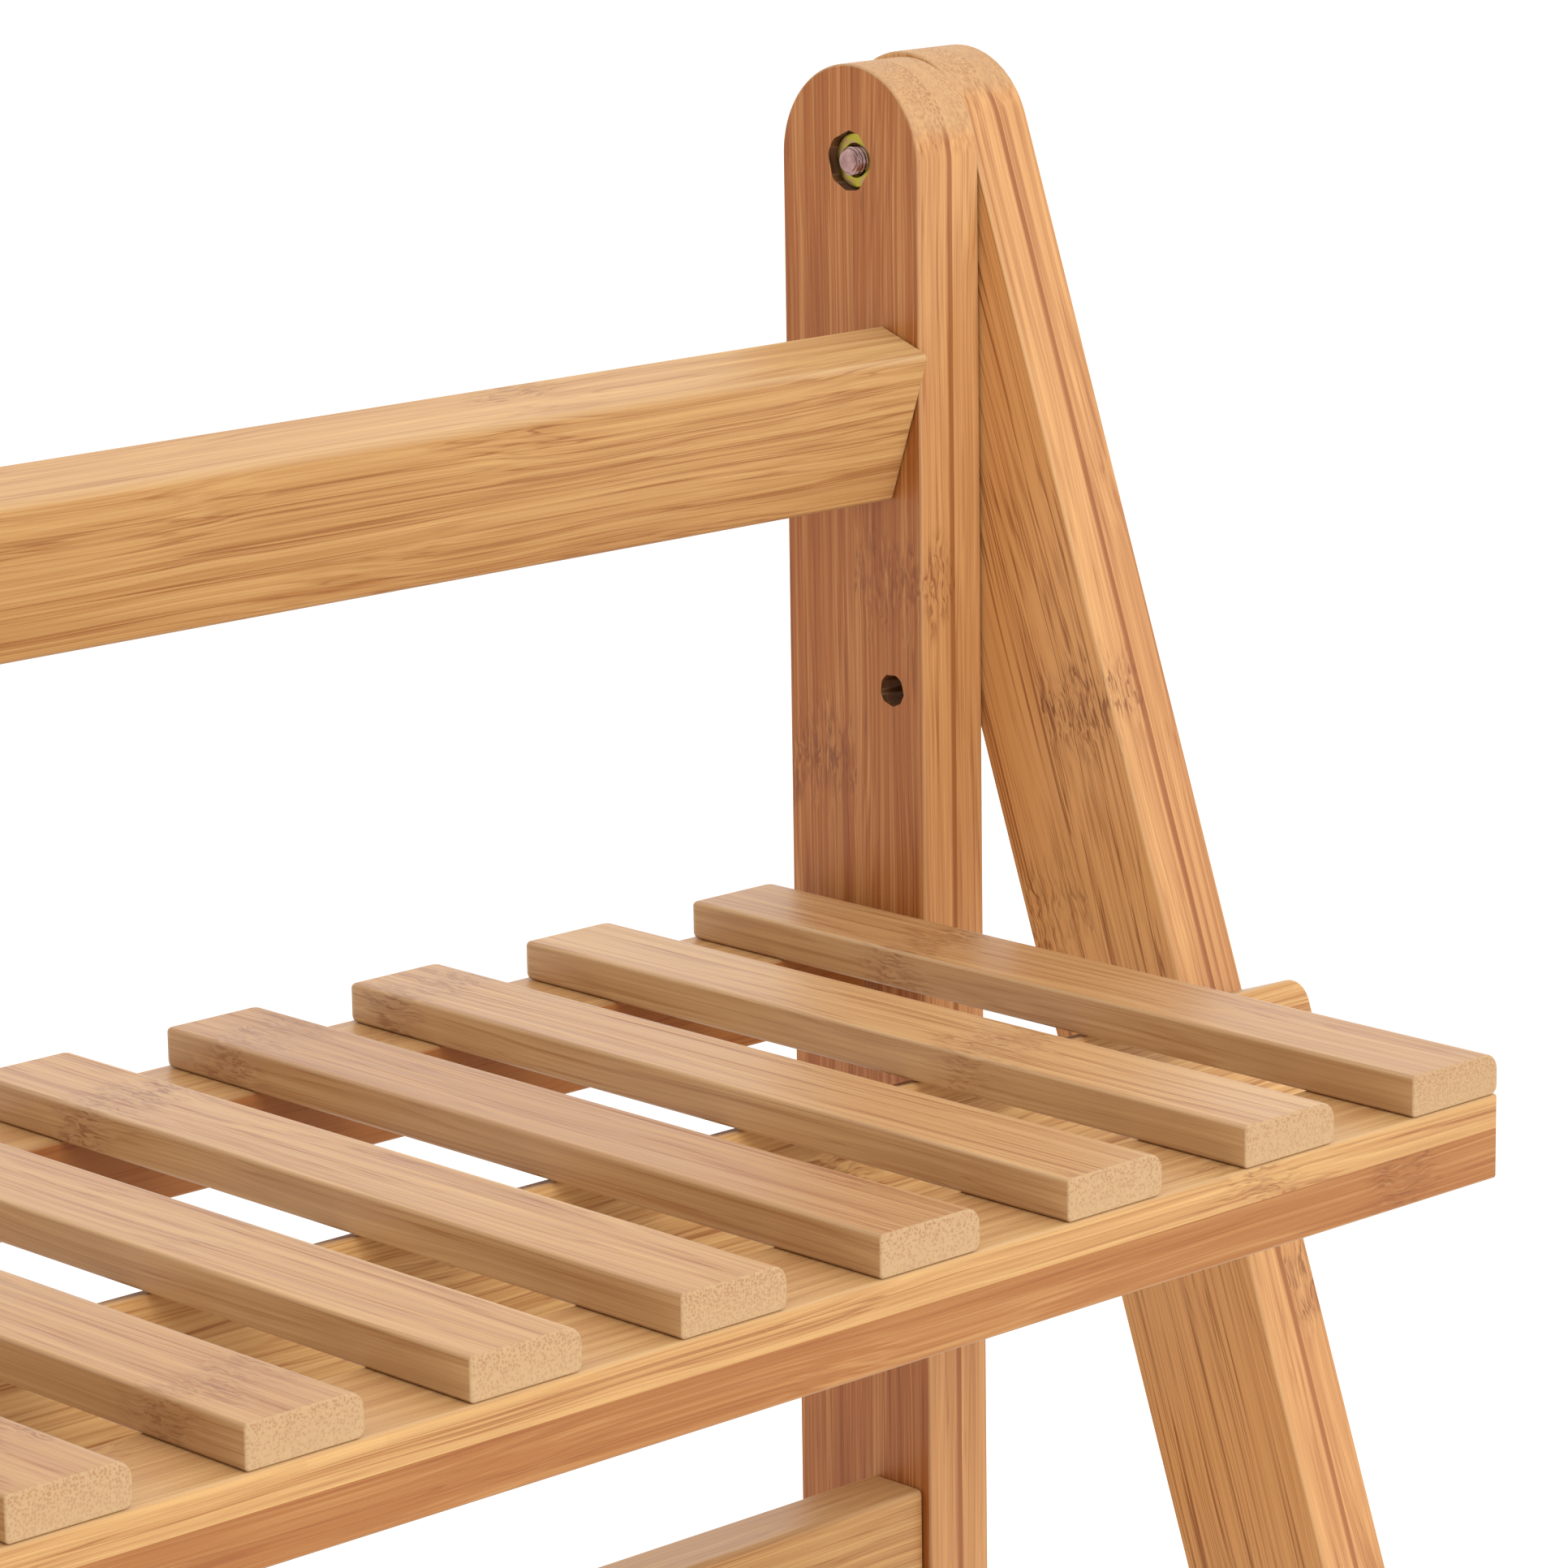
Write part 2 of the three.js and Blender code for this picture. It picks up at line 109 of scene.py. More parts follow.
BOLT_RADIUS = 3 * MM
PIN_RADIUS = 3 * MM
SCREW_SHANK = 2.25 * MM
SCREW_HEAD = 4.5 * MM
SCREW_HEAD_DEPTH = 3.5 * MM
SCREW_PITCH = 1.8 * MM
BAR_SCREW_LENGTH = 42 * MM
RAIL_SCREW_LENGTH = 45 * MM
COUNTERSINK = 4 * MM
PEG_HOLE_DEPTH = 12 * MM
PIN_BORE_DEPTH = 26 * MM
RAIL_BORE_DEPTH = 30 * MM

# ---- Settings -----------------------------------------------------------------------------


def srgb(code):
    """Linear red, green, blue and alpha of an sRGB hex colour, by the standard curve."""
    parts = [int(code[i : i + 2], 16) / 255 for i in (1, 3, 5)]
    return [c / 12.92 if c <= 0.04045 else ((c + 0.055) / 1.055) ** 2.4 for c in parts] + [1]


def colour(name, code, description):
    """A colour setting whose default is an sRGB hex colour."""
    return FloatVectorProperty(
        name=name,
        description=description,
        default=srgb(code),
        subtype="COLOR",
        size=4,
        min=0,
        max=1,
    )


def number(name, value, description, **more):
    """A setting that is one number."""
    return FloatProperty(name=name, description=description, default=value, **more)


def length(name, millimetres, description):
    """A length setting, given in millimetres and kept in metres."""
    return number(name, millimetres * MM, description, unit="LENGTH")


def angle(name, degrees, description):
    """An angle setting, given in degrees and kept in radians."""
    return number(name, math.radians(degrees), description, subtype="ANGLE")


class BenchShapes(bpy.types.PropertyGroup):
    """Sizes that the frame's boxes don't give."""

    leg_spread: angle("Leg spread", 19.1, "Open angle between a front leg and its post")
    leg_width: length("Leg width", 39.2, "Width of a front leg, front to back")
    leg_set_back: length("Leg set back", 1.7, "How far the leg's centre line lies behind the bolt")
    leg_top_rise: length("Leg top rise", 2, "How far the leg's round top is centred above the bolt")
    rail_tilt: angle("Upper rail tilt", 19.5, "How far the upper guard rail's top leans forward")
    stock_thick: length("Stock thickness", 17.6, "Thickness of the cross bars")
    bar_width: length("Cross bar width", 33, "Width of a cross bar along the leg")
    bar_round: length("Cross bar end round", 5, "Corner radius at the cross bars' ends")
    rail_thick: length("Guard rail thickness", 15, "Thickness of a guard rail")
    rail_height: length("Guard rail height", 33.7, "Height of a guard rail's section")
    rail_ease: length("Guard rail ease", 1.3, "Radius of a guard rail's long edges")
    arris: length("Arris", 0.6, "Radius of the sanded edges of posts, legs, bars and shelf rails")
    slat_ease: length("Slat ease", 0.8, "Radius of a slat's left edges")
    slat_round: length("Slat round", 3.2, "Radius of a slat's upper right edge")
    slat_under: length("Slat lower round", 1.5, "Radius of a slat's lower right edge")
    slat_rear_ease: length("Slat rear ease", 2.4, "Radius worn on a slat's rear end")
    end_ease: length("End ease", 0.5, "Radius sanded on the sawn ends of slats and rails")
    peg_forward: length("Peg hole forward", 31, "Empty peg hole's centre, forward of the post's rear face")
    peg_above: length("Peg hole above shelf", 44.8, "Empty peg hole's centre, above the shelf top")
    peg_diameter: length("Peg hole diameter", 7, "Diameter of the empty peg holes")
    bore_gap: length("Bore gap", 0.3, "Space left round a screw, pin, bolt or nut in its bore")
    thread_pitch: length("Thread pitch", 1, "Distance between two crests of the leg bolt's thread")


class BenchFinishes(bpy.types.PropertyGroup):
    """Colours of the finishes and the real sizes of the bamboo's pattern."""

    upright_light: colour("Upright light", "#d8a164", "Paler strips of the posts and legs")
    upright_dark: colour("Upright dark", "#a05c27", "Darker strips of the posts and legs")
    rail_light: colour("Rail light", "#cfa56b", "Paler strips of the rails and bars")
    rail_dark: colour("Rail dark", "#9b6230", "Darker strips of the rails and bars")
    slat_light: colour("Slat light", "#c59c6a", "Paler strips of the slats")
    slat_dark: colour("Slat dark", "#99683a", "Darker strips of the slats")
    # Painted shade: the walls inside the bores are mixed towards this dark colour.
    fibre: colour("Fibre", "#86481c", "Dark vascular fibres")
    ring: colour("Growth ring", "#713a1a", "Flecks where a growth ring crosses a strip")
    bore: colour("Bore", "#54301a", "Rough walls of the bored holes")
    # Also mixed along the arrises, where it is partly sanding and partly a painted highlight.
    end_grain: colour("End grain", "#b79770", "Pale pith between the fibres on sawn ends")
    zinc: colour("Zinc plate", "#c9a7a0", "Bright zinc on bolts and screws")
    passivate: colour("Yellow passivate", "#a89a38", "Yellow passivated zinc on the nuts")
    passivate_pink: colour("Passivate tint", "#b98280", "Pink tint in the passivated film")
    nylon: colour("Nylon", "#e9e6dc", "Washers and spacers")
    strip_width: number("Strip width (mm)", 20, "Width of a strip in posts and legs; slats' are twice that")
    layer: number("Layer (mm)", 12, "Thickness of one glued layer of strips")
    fibre_pitch: number("Fibre pitch (mm)", 1.0, "Distance between vascular fibres")
    ring_pitch: number("Ring pitch (mm)", 330, "Distance between growth rings along one strip")


class BenchStage(bpy.types.PropertyGroup):
    """Camera, floor and light."""

    lens: number("Lens (mm)", 141.19, "Focal length on a 36 mm wide sensor")
    azimuth: angle("Azimuth", 43.29, "Direction of view, from +Y towards +X")
    elevation: angle("Elevation", 12.867, "How far the camera looks down")
    roll: angle("Roll", -0.838, "Turn of the camera about its own axis")
    offset: FloatVectorProperty(
        name="Camera offset",
        description="Camera's place, from the middle of the floor under the bench",
        default=(-0.5803, -0.8123, 0.6766),
        unit="LENGTH",
    )
    floor_colour: colour("Floor", "#f4f3f1", "Pale matt floor")
    sky: number("Surround", 1.7, "Strength of the white surround on the lit side")
    shade: number("Surround, far side", 0.6, "Strength of the surround away from its lit side")
    key_power: number("Key light", 22, "Power of the large soft light at the front left", unit="POWER")


# ---- Surfaces -----------------------------------------------------------------------------


def arc_steps(radius, turn):
    """Steps for an arc: about 1.2 mm each, but no fewer than 5 and no more than 36."""
    return int(min(36, max(5, radius * turn / (1.2 * MM))))


def rounded_outline(corners, radii):
    """Points, outward normals and edge marks round a convex polygon, given anticlockwise.

    Each corner becomes an arc that turns from the normal of the side before it to the normal of
    the side after it. The arc's centre is the corner moved in by radius * (n1 + n2) / (1 + n1.n2),
    and each point is the centre plus the radius times its normal. The mark is 1 in the middle of
    a small arc and 0 at its ends.
    """
    corners = np.asarray(corners, float)
    count = len(corners)
    points, normals, marks = [], [], []
    for i in range(count):
        before = corners[i] - corners[i - 1]
        after = corners[(i + 1) % count] - corners[i]
        n1 = np.array([before[1], -before[0]]) / np.hypot(*before)
        n2 = np.array([after[1], -after[0]]) / np.hypot(*after)
        turn = math.acos(max(-1, min(1, float(n1 @ n2))))
        share = np.linspace(0, 1, arc_steps(radii[i], turn) + 1)
        angle = math.atan2(n1[1], n1[0]) + share * turn
        normal = np.stack([np.cos(angle), np.sin(angle)], 1)
        centre = corners[i] - radii[i] * (n1 + n2) / (1 + n1 @ n2)
        points.append(centre + radii[i] * normal)
        normals.append(normal)
        marks.append(np.sin(np.pi * share) * (radii[i] < 4 * MM))
    points, normals, marks = np.concatenate(points), np.concatenate(normals), np.concatenate(marks)
    apart = np.linalg.norm(points - np.roll(points, 1, 0), axis=1) > 1e-7
    return points[apart], normals[apart], marks[apart]


def box_corners(u0, v0, u1, v1):
    """The corners of an upright rectangle, anticlockwise from the lower left."""
    return [(u0, v0), (u1, v0), (u1, v1), (u0, v1)]


class Shell:
    """Collects the vertices, faces and corner normals of one closed piece."""

    def __init__(self):
        self.points = []
        self.marks = []
        self.count = 0
        self.faces = []
        self.normals = []
        self.bored = []

    def add_points(self, points, marks=None):
        """Adds a block of points and returns their numbers in the same arrangement."""
        flat = points.reshape(-1, 3)
        self.points.append(flat)
        self.marks.append(np.zeros(len(flat)) if marks is None else np.ravel(marks))
        numbers = np.arange(self.count, self.count + len(flat)).reshape(points.shape[:-1])
        self.count += len(flat)
        return numbers

    def add_faces(self, numbers, normals, flip=False, bored=False):
        """Adds faces of equal size, with a normal for each corner."""
        if flip:
            numbers, normals = numbers[:, ::-1], normals[:, ::-1]
        self.faces.extend(numbers.tolist())
        self.normals.append(normals.reshape(-1, 3))
        self.bored.append(np.full(numbers.size, bored))

    def add_grid(self, numbers, normals, flip=False, bored=False):
        """Joins rings of points, one row each, into quads that close round each ring."""
        here = np.arange(numbers.shape[1])
        over = np.roll(here, -1)
        corners = [(slice(None, -1), here), (slice(None, -1), over), (slice(1, None), over)]
        corners.append((slice(1, None), here))
        quads = np.stack([numbers[c] for c in corners], -1).reshape(-1, 4)
        quad_normals = np.stack([normals[c] for c in corners], -2).reshape(-1, 4, 3)
        self.add_faces(quads, quad_normals, flip, bored)


def add_pocket(shell, pocket, depth, rng):
    """Adds a bore's wall and returns its rim numbers at the near face and, if through, the far.

    The bore is turned: each step of its profile is a circle about its centre, at radius r and
    depth d from its face. A ragged bore's first circle has its radius multiplied by one plus a
    sum of three sines of the angle.
    """
    sign = 1 if pocket["face"] == "front" else -1
    start = 0 if sign > 0 else depth
    turns = np.linspace(0, 2 * np.pi, pocket.get("steps", 40), endpoint=False)
    around = np.stack([np.cos(turns), np.sin(turns)], 1)
    profile = pocket["profile"]
    waves = sum(np.sin(k * turns + rng.uniform(0, 6.28)) / k for k in (3, 5, 9))
    ragged = 1 + pocket.get("ragged", 0) * waves
    rows = []
    for i, (radius, deep) in enumerate(profile):
        flat = around * radius * (ragged[:, None] if i == 0 else 1) + pocket["centre"]
        rows.append(np.column_stack([flat, np.full(len(flat), start + sign * deep)]))
    numbers = shell.add_points(np.stack(rows))
    for i in range(len(profile) - 1):
        (r0, d0), (r1, d1) = profile[i], profile[i + 1]
        length = math.hypot(r1 - r0, d1 - d0)
        inward, out = (d1 - d0) / length, (r1 - r0) / length
        normal = np.column_stack([-around * inward, np.full(len(around), sign * out)])
        pair = np.stack([normal, normal])
        shell.add_grid(numbers[i : i + 2], pair, flip=sign > 0, bored=True)
    if not pocket.get("through"):
        centre = np.array([[*pocket["centre"], start + sign * profile[-1][1]]])
        middle = shell.add_points(centre)[0]
        rim = numbers[-1]
        fan = np.stack([rim, np.roll(rim, -1), np.full(len(rim), middle)], 1)
        normal = np.broadcast_to([0, 0, -sign], (len(fan), 3, 3))
        shell.add_faces(fan, normal, flip=sign > 0, bored=True)
    return numbers[0], numbers[-1]


def add_cap(shell, rims, holes, normal, flip):
    """Fills a flat face between its outer rim and its holes with Delaunay triangles."""
    points = np.concatenate(shell.points)
    loops = [rims, *[rim for rim, _, _ in holes]]
    numbers = np.concatenate(loops)
    edges, first = [], 0
    for loop in loops:
        here = np.arange(first, first + len(loop))
        edges.extend(np.stack([here, np.roll(here, -1)], 1).tolist())
        first += len(loop)
    flat = points[numbers, :2]
    made = delaunay_2d_cdt([Vector(p) for p in flat / MM], edges, [], 1, 1e-6)
    origin = np.array([found[0] for found in made[3]])
    triangles = origin[np.array(made[2])]
    middle = flat[triangles].mean(1)
    inside = np.ones(len(triangles), bool)
    for _, centre, radius in holes:
        inside &= np.linalg.norm(middle - centre, axis=1) > radius * 0.9
    triangles = numbers[triangles[inside]]
    corner_normals = np.broadcast_to(normal, (len(triangles), 3, 3))
    shell.add_faces(triangles, corner_normals, flip)


def eased_prism(corners, radii, depth, ease, pockets=(), rng=None, worn=0):
    """A closed board: a rounded outline in (u, v) carried along w from 0 to its depth.

    Both rims are quarter arcs of the ease radius. At angle a the arc's ring is the outline moved
    in by ease * (1 - sin a), at ease * (1 - cos a) from its face, with a normal that turns from
    the face's own to the outline's. If worn is given it is the near rim's larger radius, and that
    rim's rings are the outline drawn in towards its middle instead, so that its corners follow.
    """
    outline, normals, marks = rounded_outline(corners, radii)
    near = max(ease, worn)
    near_angle = np.linspace(0, np.pi / 2, arc_steps(near, np.pi / 2) + 1)
    far_angle = np.linspace(np.pi / 2, 0, arc_steps(ease, np.pi / 2) + 1)
    inset = np.concatenate([near * (1 - np.sin(near_angle)), ease * (1 - np.sin(far_angle))])
    level = np.concatenate([near * (1 - np.cos(near_angle)), depth - ease * (1 - np.cos(far_angle))])
    lean = np.concatenate([-np.cos(near_angle), np.cos(far_angle)])
    spread = np.sin(np.concatenate([near_angle, far_angle]))
    centre, half = (outline.max(0) + outline.min(0)) / 2, np.ptp(outline, 0) / 2
    inward = (outline - centre) / half if worn else normals
    flat = outline[None] - inset[:, None, None] * inward[None]
    rings = np.dstack([flat, np.broadcast_to(level[:, None], flat.shape[:2])])
    leans = np.broadcast_to(lean[:, None], flat.shape[:2])
    ring_normals = np.dstack([spread[:, None, None] * normals[None], leans])
    on_side = (spread > 0.5).astype(float)
    edge = np.maximum(np.abs(2 * spread * lean)[:, None], marks[None] * on_side[:, None])

    shell = Shell()
    numbers = shell.add_points(rings, edge)
    shell.add_grid(numbers, ring_normals)
    holes = {"front": [], "back": []}
    for pocket in pockets:
        near, far = add_pocket(shell, pocket, depth, rng)
        other = "back" if pocket["face"] == "front" else "front"
        holes[pocket["face"]].append((near, pocket["centre"], pocket["profile"][0][0]))
        if pocket.get("through"):
            holes[other].append((far, pocket["centre"], pocket["profile"][-1][0]))
    add_cap(shell, numbers[0], holes["front"], (0, 0, -1), flip=True)
    add_cap(shell, numbers[-1], holes["back"], (0, 0, 1), flip=False)
    return shell


def finish_piece(name, mesh, node, body, slot):
    """Puts a mesh in the scene in place of its frame node, on that node's body."""
    mesh.materials.append(material_for(slot))
    piece = bpy.data.objects.new(name, mesh)
    bpy.context.scene.collection.objects.link(piece)
    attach(piece, body)
    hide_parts(node)


def put_attribute(mesh, name, kind, values, domain="POINT"):
    """Stores one value or vector for each vertex, or each corner."""
    attribute = mesh.attributes.new(name, kind, domain)
    field = "vector" if kind == "FLOAT_VECTOR" else "value"
    attribute.data.foreach_set(field, np.asarray(values, np.float32).ravel())


def seeded(name):
    """A random generator that is always the same for a piece's name."""
    return np.random.default_rng(list(name.encode()))


def wooden_piece(node, shell, axes, origin, grain, body, slot):
    """Turns a shell into a bamboo piece and stores the place of each point in its own timber.

    A point is the origin plus u, v and w times the three axes. The attribute stock holds, in
    millimetres, the distance along the grain, across the strips and through the layers: grain
    gives which of u, v and w each one is. The attribute ends is how squarely the surface cuts
    the fibres, or -1 inside a bore, flats is 1 on faces parallel to the layers, and edges is 1
    on the sanded arrises.
    """
    local = np.concatenate(shell.points)
    turned = np.asarray(axes, float)
    world = local @ turned + np.asarray(origin, float)
    corner_normals = np.concatenate(shell.normals)
    mesh = bpy.data.meshes.new(f"{node}_bamboo")
    mesh.from_pydata(world, [], shell.faces)
    mesh.polygons.foreach_set("use_smooth", np.ones(len(shell.faces), bool))
    mesh.normals_split_custom_set((corner_normals @ turned).tolist())

    order = ["uvw".index(letter) for letter in grain]
    stock = (local - local.min(0))[:, order] / MM
    rng = seeded(node)
    ring_at = GROWTH_RINGS.get(node, rng.uniform(0, bpy.context.scene.bench_finishes.ring_pitch))
    seed = rng.uniform(0, 500)
    # The piece's tone from the table, which is painted shade or painted light for some pieces.
    tone = TIMBER_TONES_AND_PAINTED_LIGHT.get(node, 0)
    put_attribute(mesh, "stock", "FLOAT_VECTOR", stock)
    put_attribute(mesh, "piece", "FLOAT_VECTOR", np.tile([seed, ring_at, tone], (len(local), 1)))
    ends = np.where(np.concatenate(shell.bored), -1, np.abs(corner_normals[:, order[0]]))
    put_attribute(mesh, "ends", "FLOAT", ends, "CORNER")
    put_attribute(mesh, "flats", "FLOAT", np.abs(corner_normals[:, order[2]]), "CORNER")
    put_attribute(mesh, "edges", "FLOAT", np.concatenate(shell.marks))
    lowest_tone = LOWEST_STRIP_TONE if "shelf" in node else 0
    put_attribute(mesh, "lowest_tone", "FLOAT", np.full(len(local), lowest_tone))
    finish_piece(f"{node}_bamboo", mesh, node, body, slot)


# ---- Turned hardware ----------------------------------------------------------------------


def turned_piece(node, rings, axis, origin, body, slot):
    """A closed turned piece from rings of points, drawn with its head towards +w.

    rings is an array of rings by steps by (x, y, w). The first and last ring are closed by
    triangles to their middle, or joined to each other when the piece is a ring.
    """
    axis = Vector(axis).normalized()
    side = axis.orthogonal().normalized() if abs(axis.x) < 0.9 else Vector((0, 1, 0))
    frame_axes = np.array([side, axis.cross(side), axis], float)
    world = rings.reshape(-1, 3) @ frame_axes + np.asarray(origin, float)
    count, steps = rings.shape[:2]
    numbers = np.arange(count * steps).reshape(count, steps)
    closed = bool(np.allclose(rings[0], rings[-1]))
    if closed:
        numbers[-1] = numbers[0]
        world = world[: (count - 1) * steps]
    over = np.roll(numbers, -1, 1)
    quads = np.stack([numbers[:-1], over[:-1], over[1:], numbers[1:]], -1).reshape(-1, 4).tolist()
    if not closed:
        middles = [world[numbers[0]].mean(0), world[numbers[-1]].mean(0)]
        world = np.vstack([world, middles])
        first, last = count * steps, count * steps + 1
        quads += np.stack([over[0], numbers[0], np.full(steps, first)], 1).tolist()
        quads += np.stack([numbers[-1], over[-1], np.full(steps, last)], 1).tolist()
    mesh = bpy.data.meshes.new(f"{node}_finish")
    mesh.from_pydata(world, [], quads)
    mesh.polygons.foreach_set("use_smooth", np.ones(len(quads), bool))
    mesh.set_sharp_from_angle(angle=math.radians(35))
    finish_piece(f"{node}_finish", mesh, node, body, slot)


def profile_rings(profile, steps):
    """Rings of a turned profile, a list of (radius, w): each is a circle of that radius at w."""
    angle = np.linspace(0, 2 * np.pi, steps, endpoint=False)
    radius, level = np.array(profile, float).T
    x = radius[:, None] * np.cos(angle)
    y = radius[:, None] * np.sin(angle)
    return np.stack([x, y, np.broadcast_to(level[:, None], x.shape)], -1)


def ring_section(inner, outer, long, lip):
    """A plain ring's profile, its four edges bevelled by the lip and its end joined to its start."""
    return [
        (inner, lip),
        (inner + lip, 0),
        (outer - lip, 0),
        (outer, lip),
        (outer, long - lip),
        (outer - lip, long),
        (inner + lip, long),
        (inner, long - lip),
        (inner, lip),
    ]


def dense(profile, spacing):
    """The same profile with points added along it, no further apart than the spacing."""
    out = [profile[0]]
    for start, end in zip(profile[:-1], profile[1:]):
        count = max(1, int(math.hypot(end[0] - start[0], end[1] - start[1]) / spacing))
        share = np.linspace(0, 1, count + 1)[1:, None]
        out.extend((np.array(start) + share * (np.array(end) - start)).tolist())
    return out


def cross_recess(x, y, reach, width):
    """Distance inside a cross: the larger of the two arms, each a bar with the given reach."""
    across = np.minimum(width / 2 - np.abs(x), reach - np.abs(y))
    upright = np.minimum(width / 2 - np.abs(y), reach - np.abs(x))
    return np.maximum(across, upright)


def hexagon_recess(x, y, across):
    """Distance inside a hexagon: half its size less the furthest of three turned distances."""
    turns = [np.abs(x * math.cos(a) + y * math.sin(a)) for a in np.radians([0, 60, 120])]
    return across / 2 - np.maximum.reduce(turns)


def sink(rings, inside, wall, depth):
    """Lowers points by the depth where they are inside a recess, over a wall that wide."""
    rings[..., 2] -= depth * np.clip(inside / wall, 0, 1)
    return rings


# ---- Materials ----------------------------------------------------------------------------


def join(tree, item, inputs):
    """Sets or links a node's inputs, by name or number, or in order if no keys are given.

    A node given as an input stands for its first output.
    """
    pairs = inputs.items() if isinstance(inputs, dict) else enumerate(inputs)
    for key, value in pairs:
        if isinstance(value, bpy.types.Node):
            value = value.outputs[0]
        if isinstance(value, bpy.types.NodeSocket):
            tree.links.new(value, item.inputs[key])
        else:
            item.inputs[key].default_value = value


def add(tree, kind, inputs=(), **settings):
    """Adds a shader node with its settings and its inputs."""
    item = tree.nodes.new(f"ShaderNode{kind}")
    for key, value in settings.items():
        setattr(item, key, value)
    join(tree, item, inputs)
    return item


def new_material(name):
    """An empty node material with its shader joined to its output."""
    material = bpy.data.materials.new(name)
    material.use_nodes = True
    tree = material.node_tree
    tree.nodes.clear()
    shader = add(tree, "BsdfPrincipled")
    add(tree, "OutputMaterial", {"Surface": shader})
    return material, tree, shader


def bamboo(name, light, dark, strip, shift, skin_power, end_power):
    """Laminated bamboo, planed, sanded and sealed with a satin varnish.

    Glued strips differ a little in tone. Dark vascular fibres run along each strip as fine long
    lines, crowd together near its skin side, and show as dots on a sawn end. Where a growth ring
    crosses a strip the fibres bend and break into short dark dashes. The varnish gives a soft
    sheen at a low angle.
    """
    look = bpy.context.scene.bench_finishes
    material, tree, shader = new_material(name)
    stock = add(tree, "Attribute", attribute_name="stock").outputs["Vector"]
    piece = add(tree, "Attribute", attribute_name="piece").outputs["Vector"]
    ends = add(tree, "Attribute", attribute_name="ends").outputs["Fac"]
    edges = add(tree, "Attribute", attribute_name="edges").outputs["Fac"]
    flats = add(tree, "Attribute", attribute_name="flats").outputs["Fac"]
    lowest_tone = add(tree, "Attribute", attribute_name="lowest_tone").outputs["Fac"]
    piece_parts = add(tree, "SeparateXYZ", (piece,))
    seed, ring_at, piece_tone_and_painted_light = piece_parts.outputs

    # Which glued strip this is, where it lies in its layer, and its own random numbers.
    lifted = add(tree, "VectorMath", (stock, (0, *shift)), operation="ADD")
    in_strips = add(tree, "VectorMath", (lifted, (UNCUT, *strip)), operation="DIVIDE")
    cell = add(tree, "VectorMath", (in_strips,), operation="FLOOR")
    depth = add(tree, "VectorMath", (in_strips,), operation="FRACTION")
    to_skin = add(tree, "SeparateXYZ", (depth,)).outputs[2]
    seed_vector = add(tree, "CombineXYZ", (seed,))
    own = add(tree, "VectorMath", (cell, seed_vector), operation="ADD")
    chance = add(tree, "TexWhiteNoise", {"Vector": own}, noise_dimensions="3D")
    strip_parts = add(tree, "SeparateColor", (chance.outputs["Color"],))
    # Each strip reads its own part of the noises, up to a metre away.
    chance_colour = chance.outputs["Color"]
    far_off = add(tree, "VectorMath", (chance_colour, [0.001] * 3), operation="DIVIDE")
    timber = add(tree, "VectorMath", (stock, far_off), operation="ADD")

    # Noises of the timber, each with its size in millimetres along, across and through a strip.
    broad = []
    for size in ((16, 5, 5), (110, 22, 22), (7, 5, 5)):
        sized = add(tree, "VectorMath", (timber, size), operation="DIVIDE")
        broad.append(add(tree, "TexNoise", {"Vector": sized, "Scale": 1, "Detail": 1}))
    wander, drift, swirl = broad

    # Distance to the nearest growth ring: the next strip's rings stand a fraction further along.
    lag = add(tree, "VectorMath", (cell, RING_LAG), operation="DOT_PRODUCT").outputs["Value"]
    along = add(tree, "SeparateXYZ", (stock,))
    from_ring = add(tree, "Math", (along, ring_at), operation="SUBTRACT")
    turns = add(tree, "Math", (from_ring, look.ring_pitch), operation="DIVIDE")
    lagged = add(tree, "Math", (turns, lag), operation="SUBTRACT")
    wrapped = add(tree, "Math", (lagged, 0.5, -0.5), operation="WRAP")
    wander_mm = add(tree, "MapRange", (wander, 0.25, 0.75, -7, 7))
    near = add(tree, "Math", (wrapped, look.ring_pitch, wander_mm), operation="MULTIPLY_ADD")
    near = add(tree, "Math", (near,), operation="ABSOLUTE")
    at_ring = add(tree, "MapRange", (near, 14, 1, 0, 1), interpolation_type="SMOOTHSTEP")

    # Fibres swirl sideways by up to 1.6 mm near a ring, over a slow drift of up to 3 mm.
    calm = add(tree, "MapRange", (drift, 0, 1, -3, 3))
    swirl_mm = add(tree, "MapRange", (swirl, 0, 1, -1.6, 1.6))
    bent = add(tree, "Math", (swirl_mm, at_ring, calm), operation="MULTIPLY_ADD")
    sideways = add(tree, "CombineXYZ", {1: bent, 2: bent})
    grain = add(tree, "VectorMath", (timber, sideways), operation="ADD")

    # Noises that follow the bent fibres: the size as above, then the detail and the roughness.
    pitch = look.fibre_pitch
    bent_noises = []
    for size, detail, roughness in (
        ((110, 0.5 * pitch, 0.5 * pitch), 1, 0.5),
        ((190, 2, 2), 2, 0.65),
        ((240, 1.2 * pitch, 1.2 * pitch), 1.5, 0.5),
        ((5, 0.55, 0.55), 1, 0.5),
    ):
        sized = add(tree, "VectorMath", (grain, size), operation="DIVIDE")
        inputs = {"Vector": sized, "Scale": 1, "Detail": detail, "Roughness": roughness}
        bent_noises.append(add(tree, "TexNoise", inputs))
    fine, streak, long_noise, dash = bent_noises

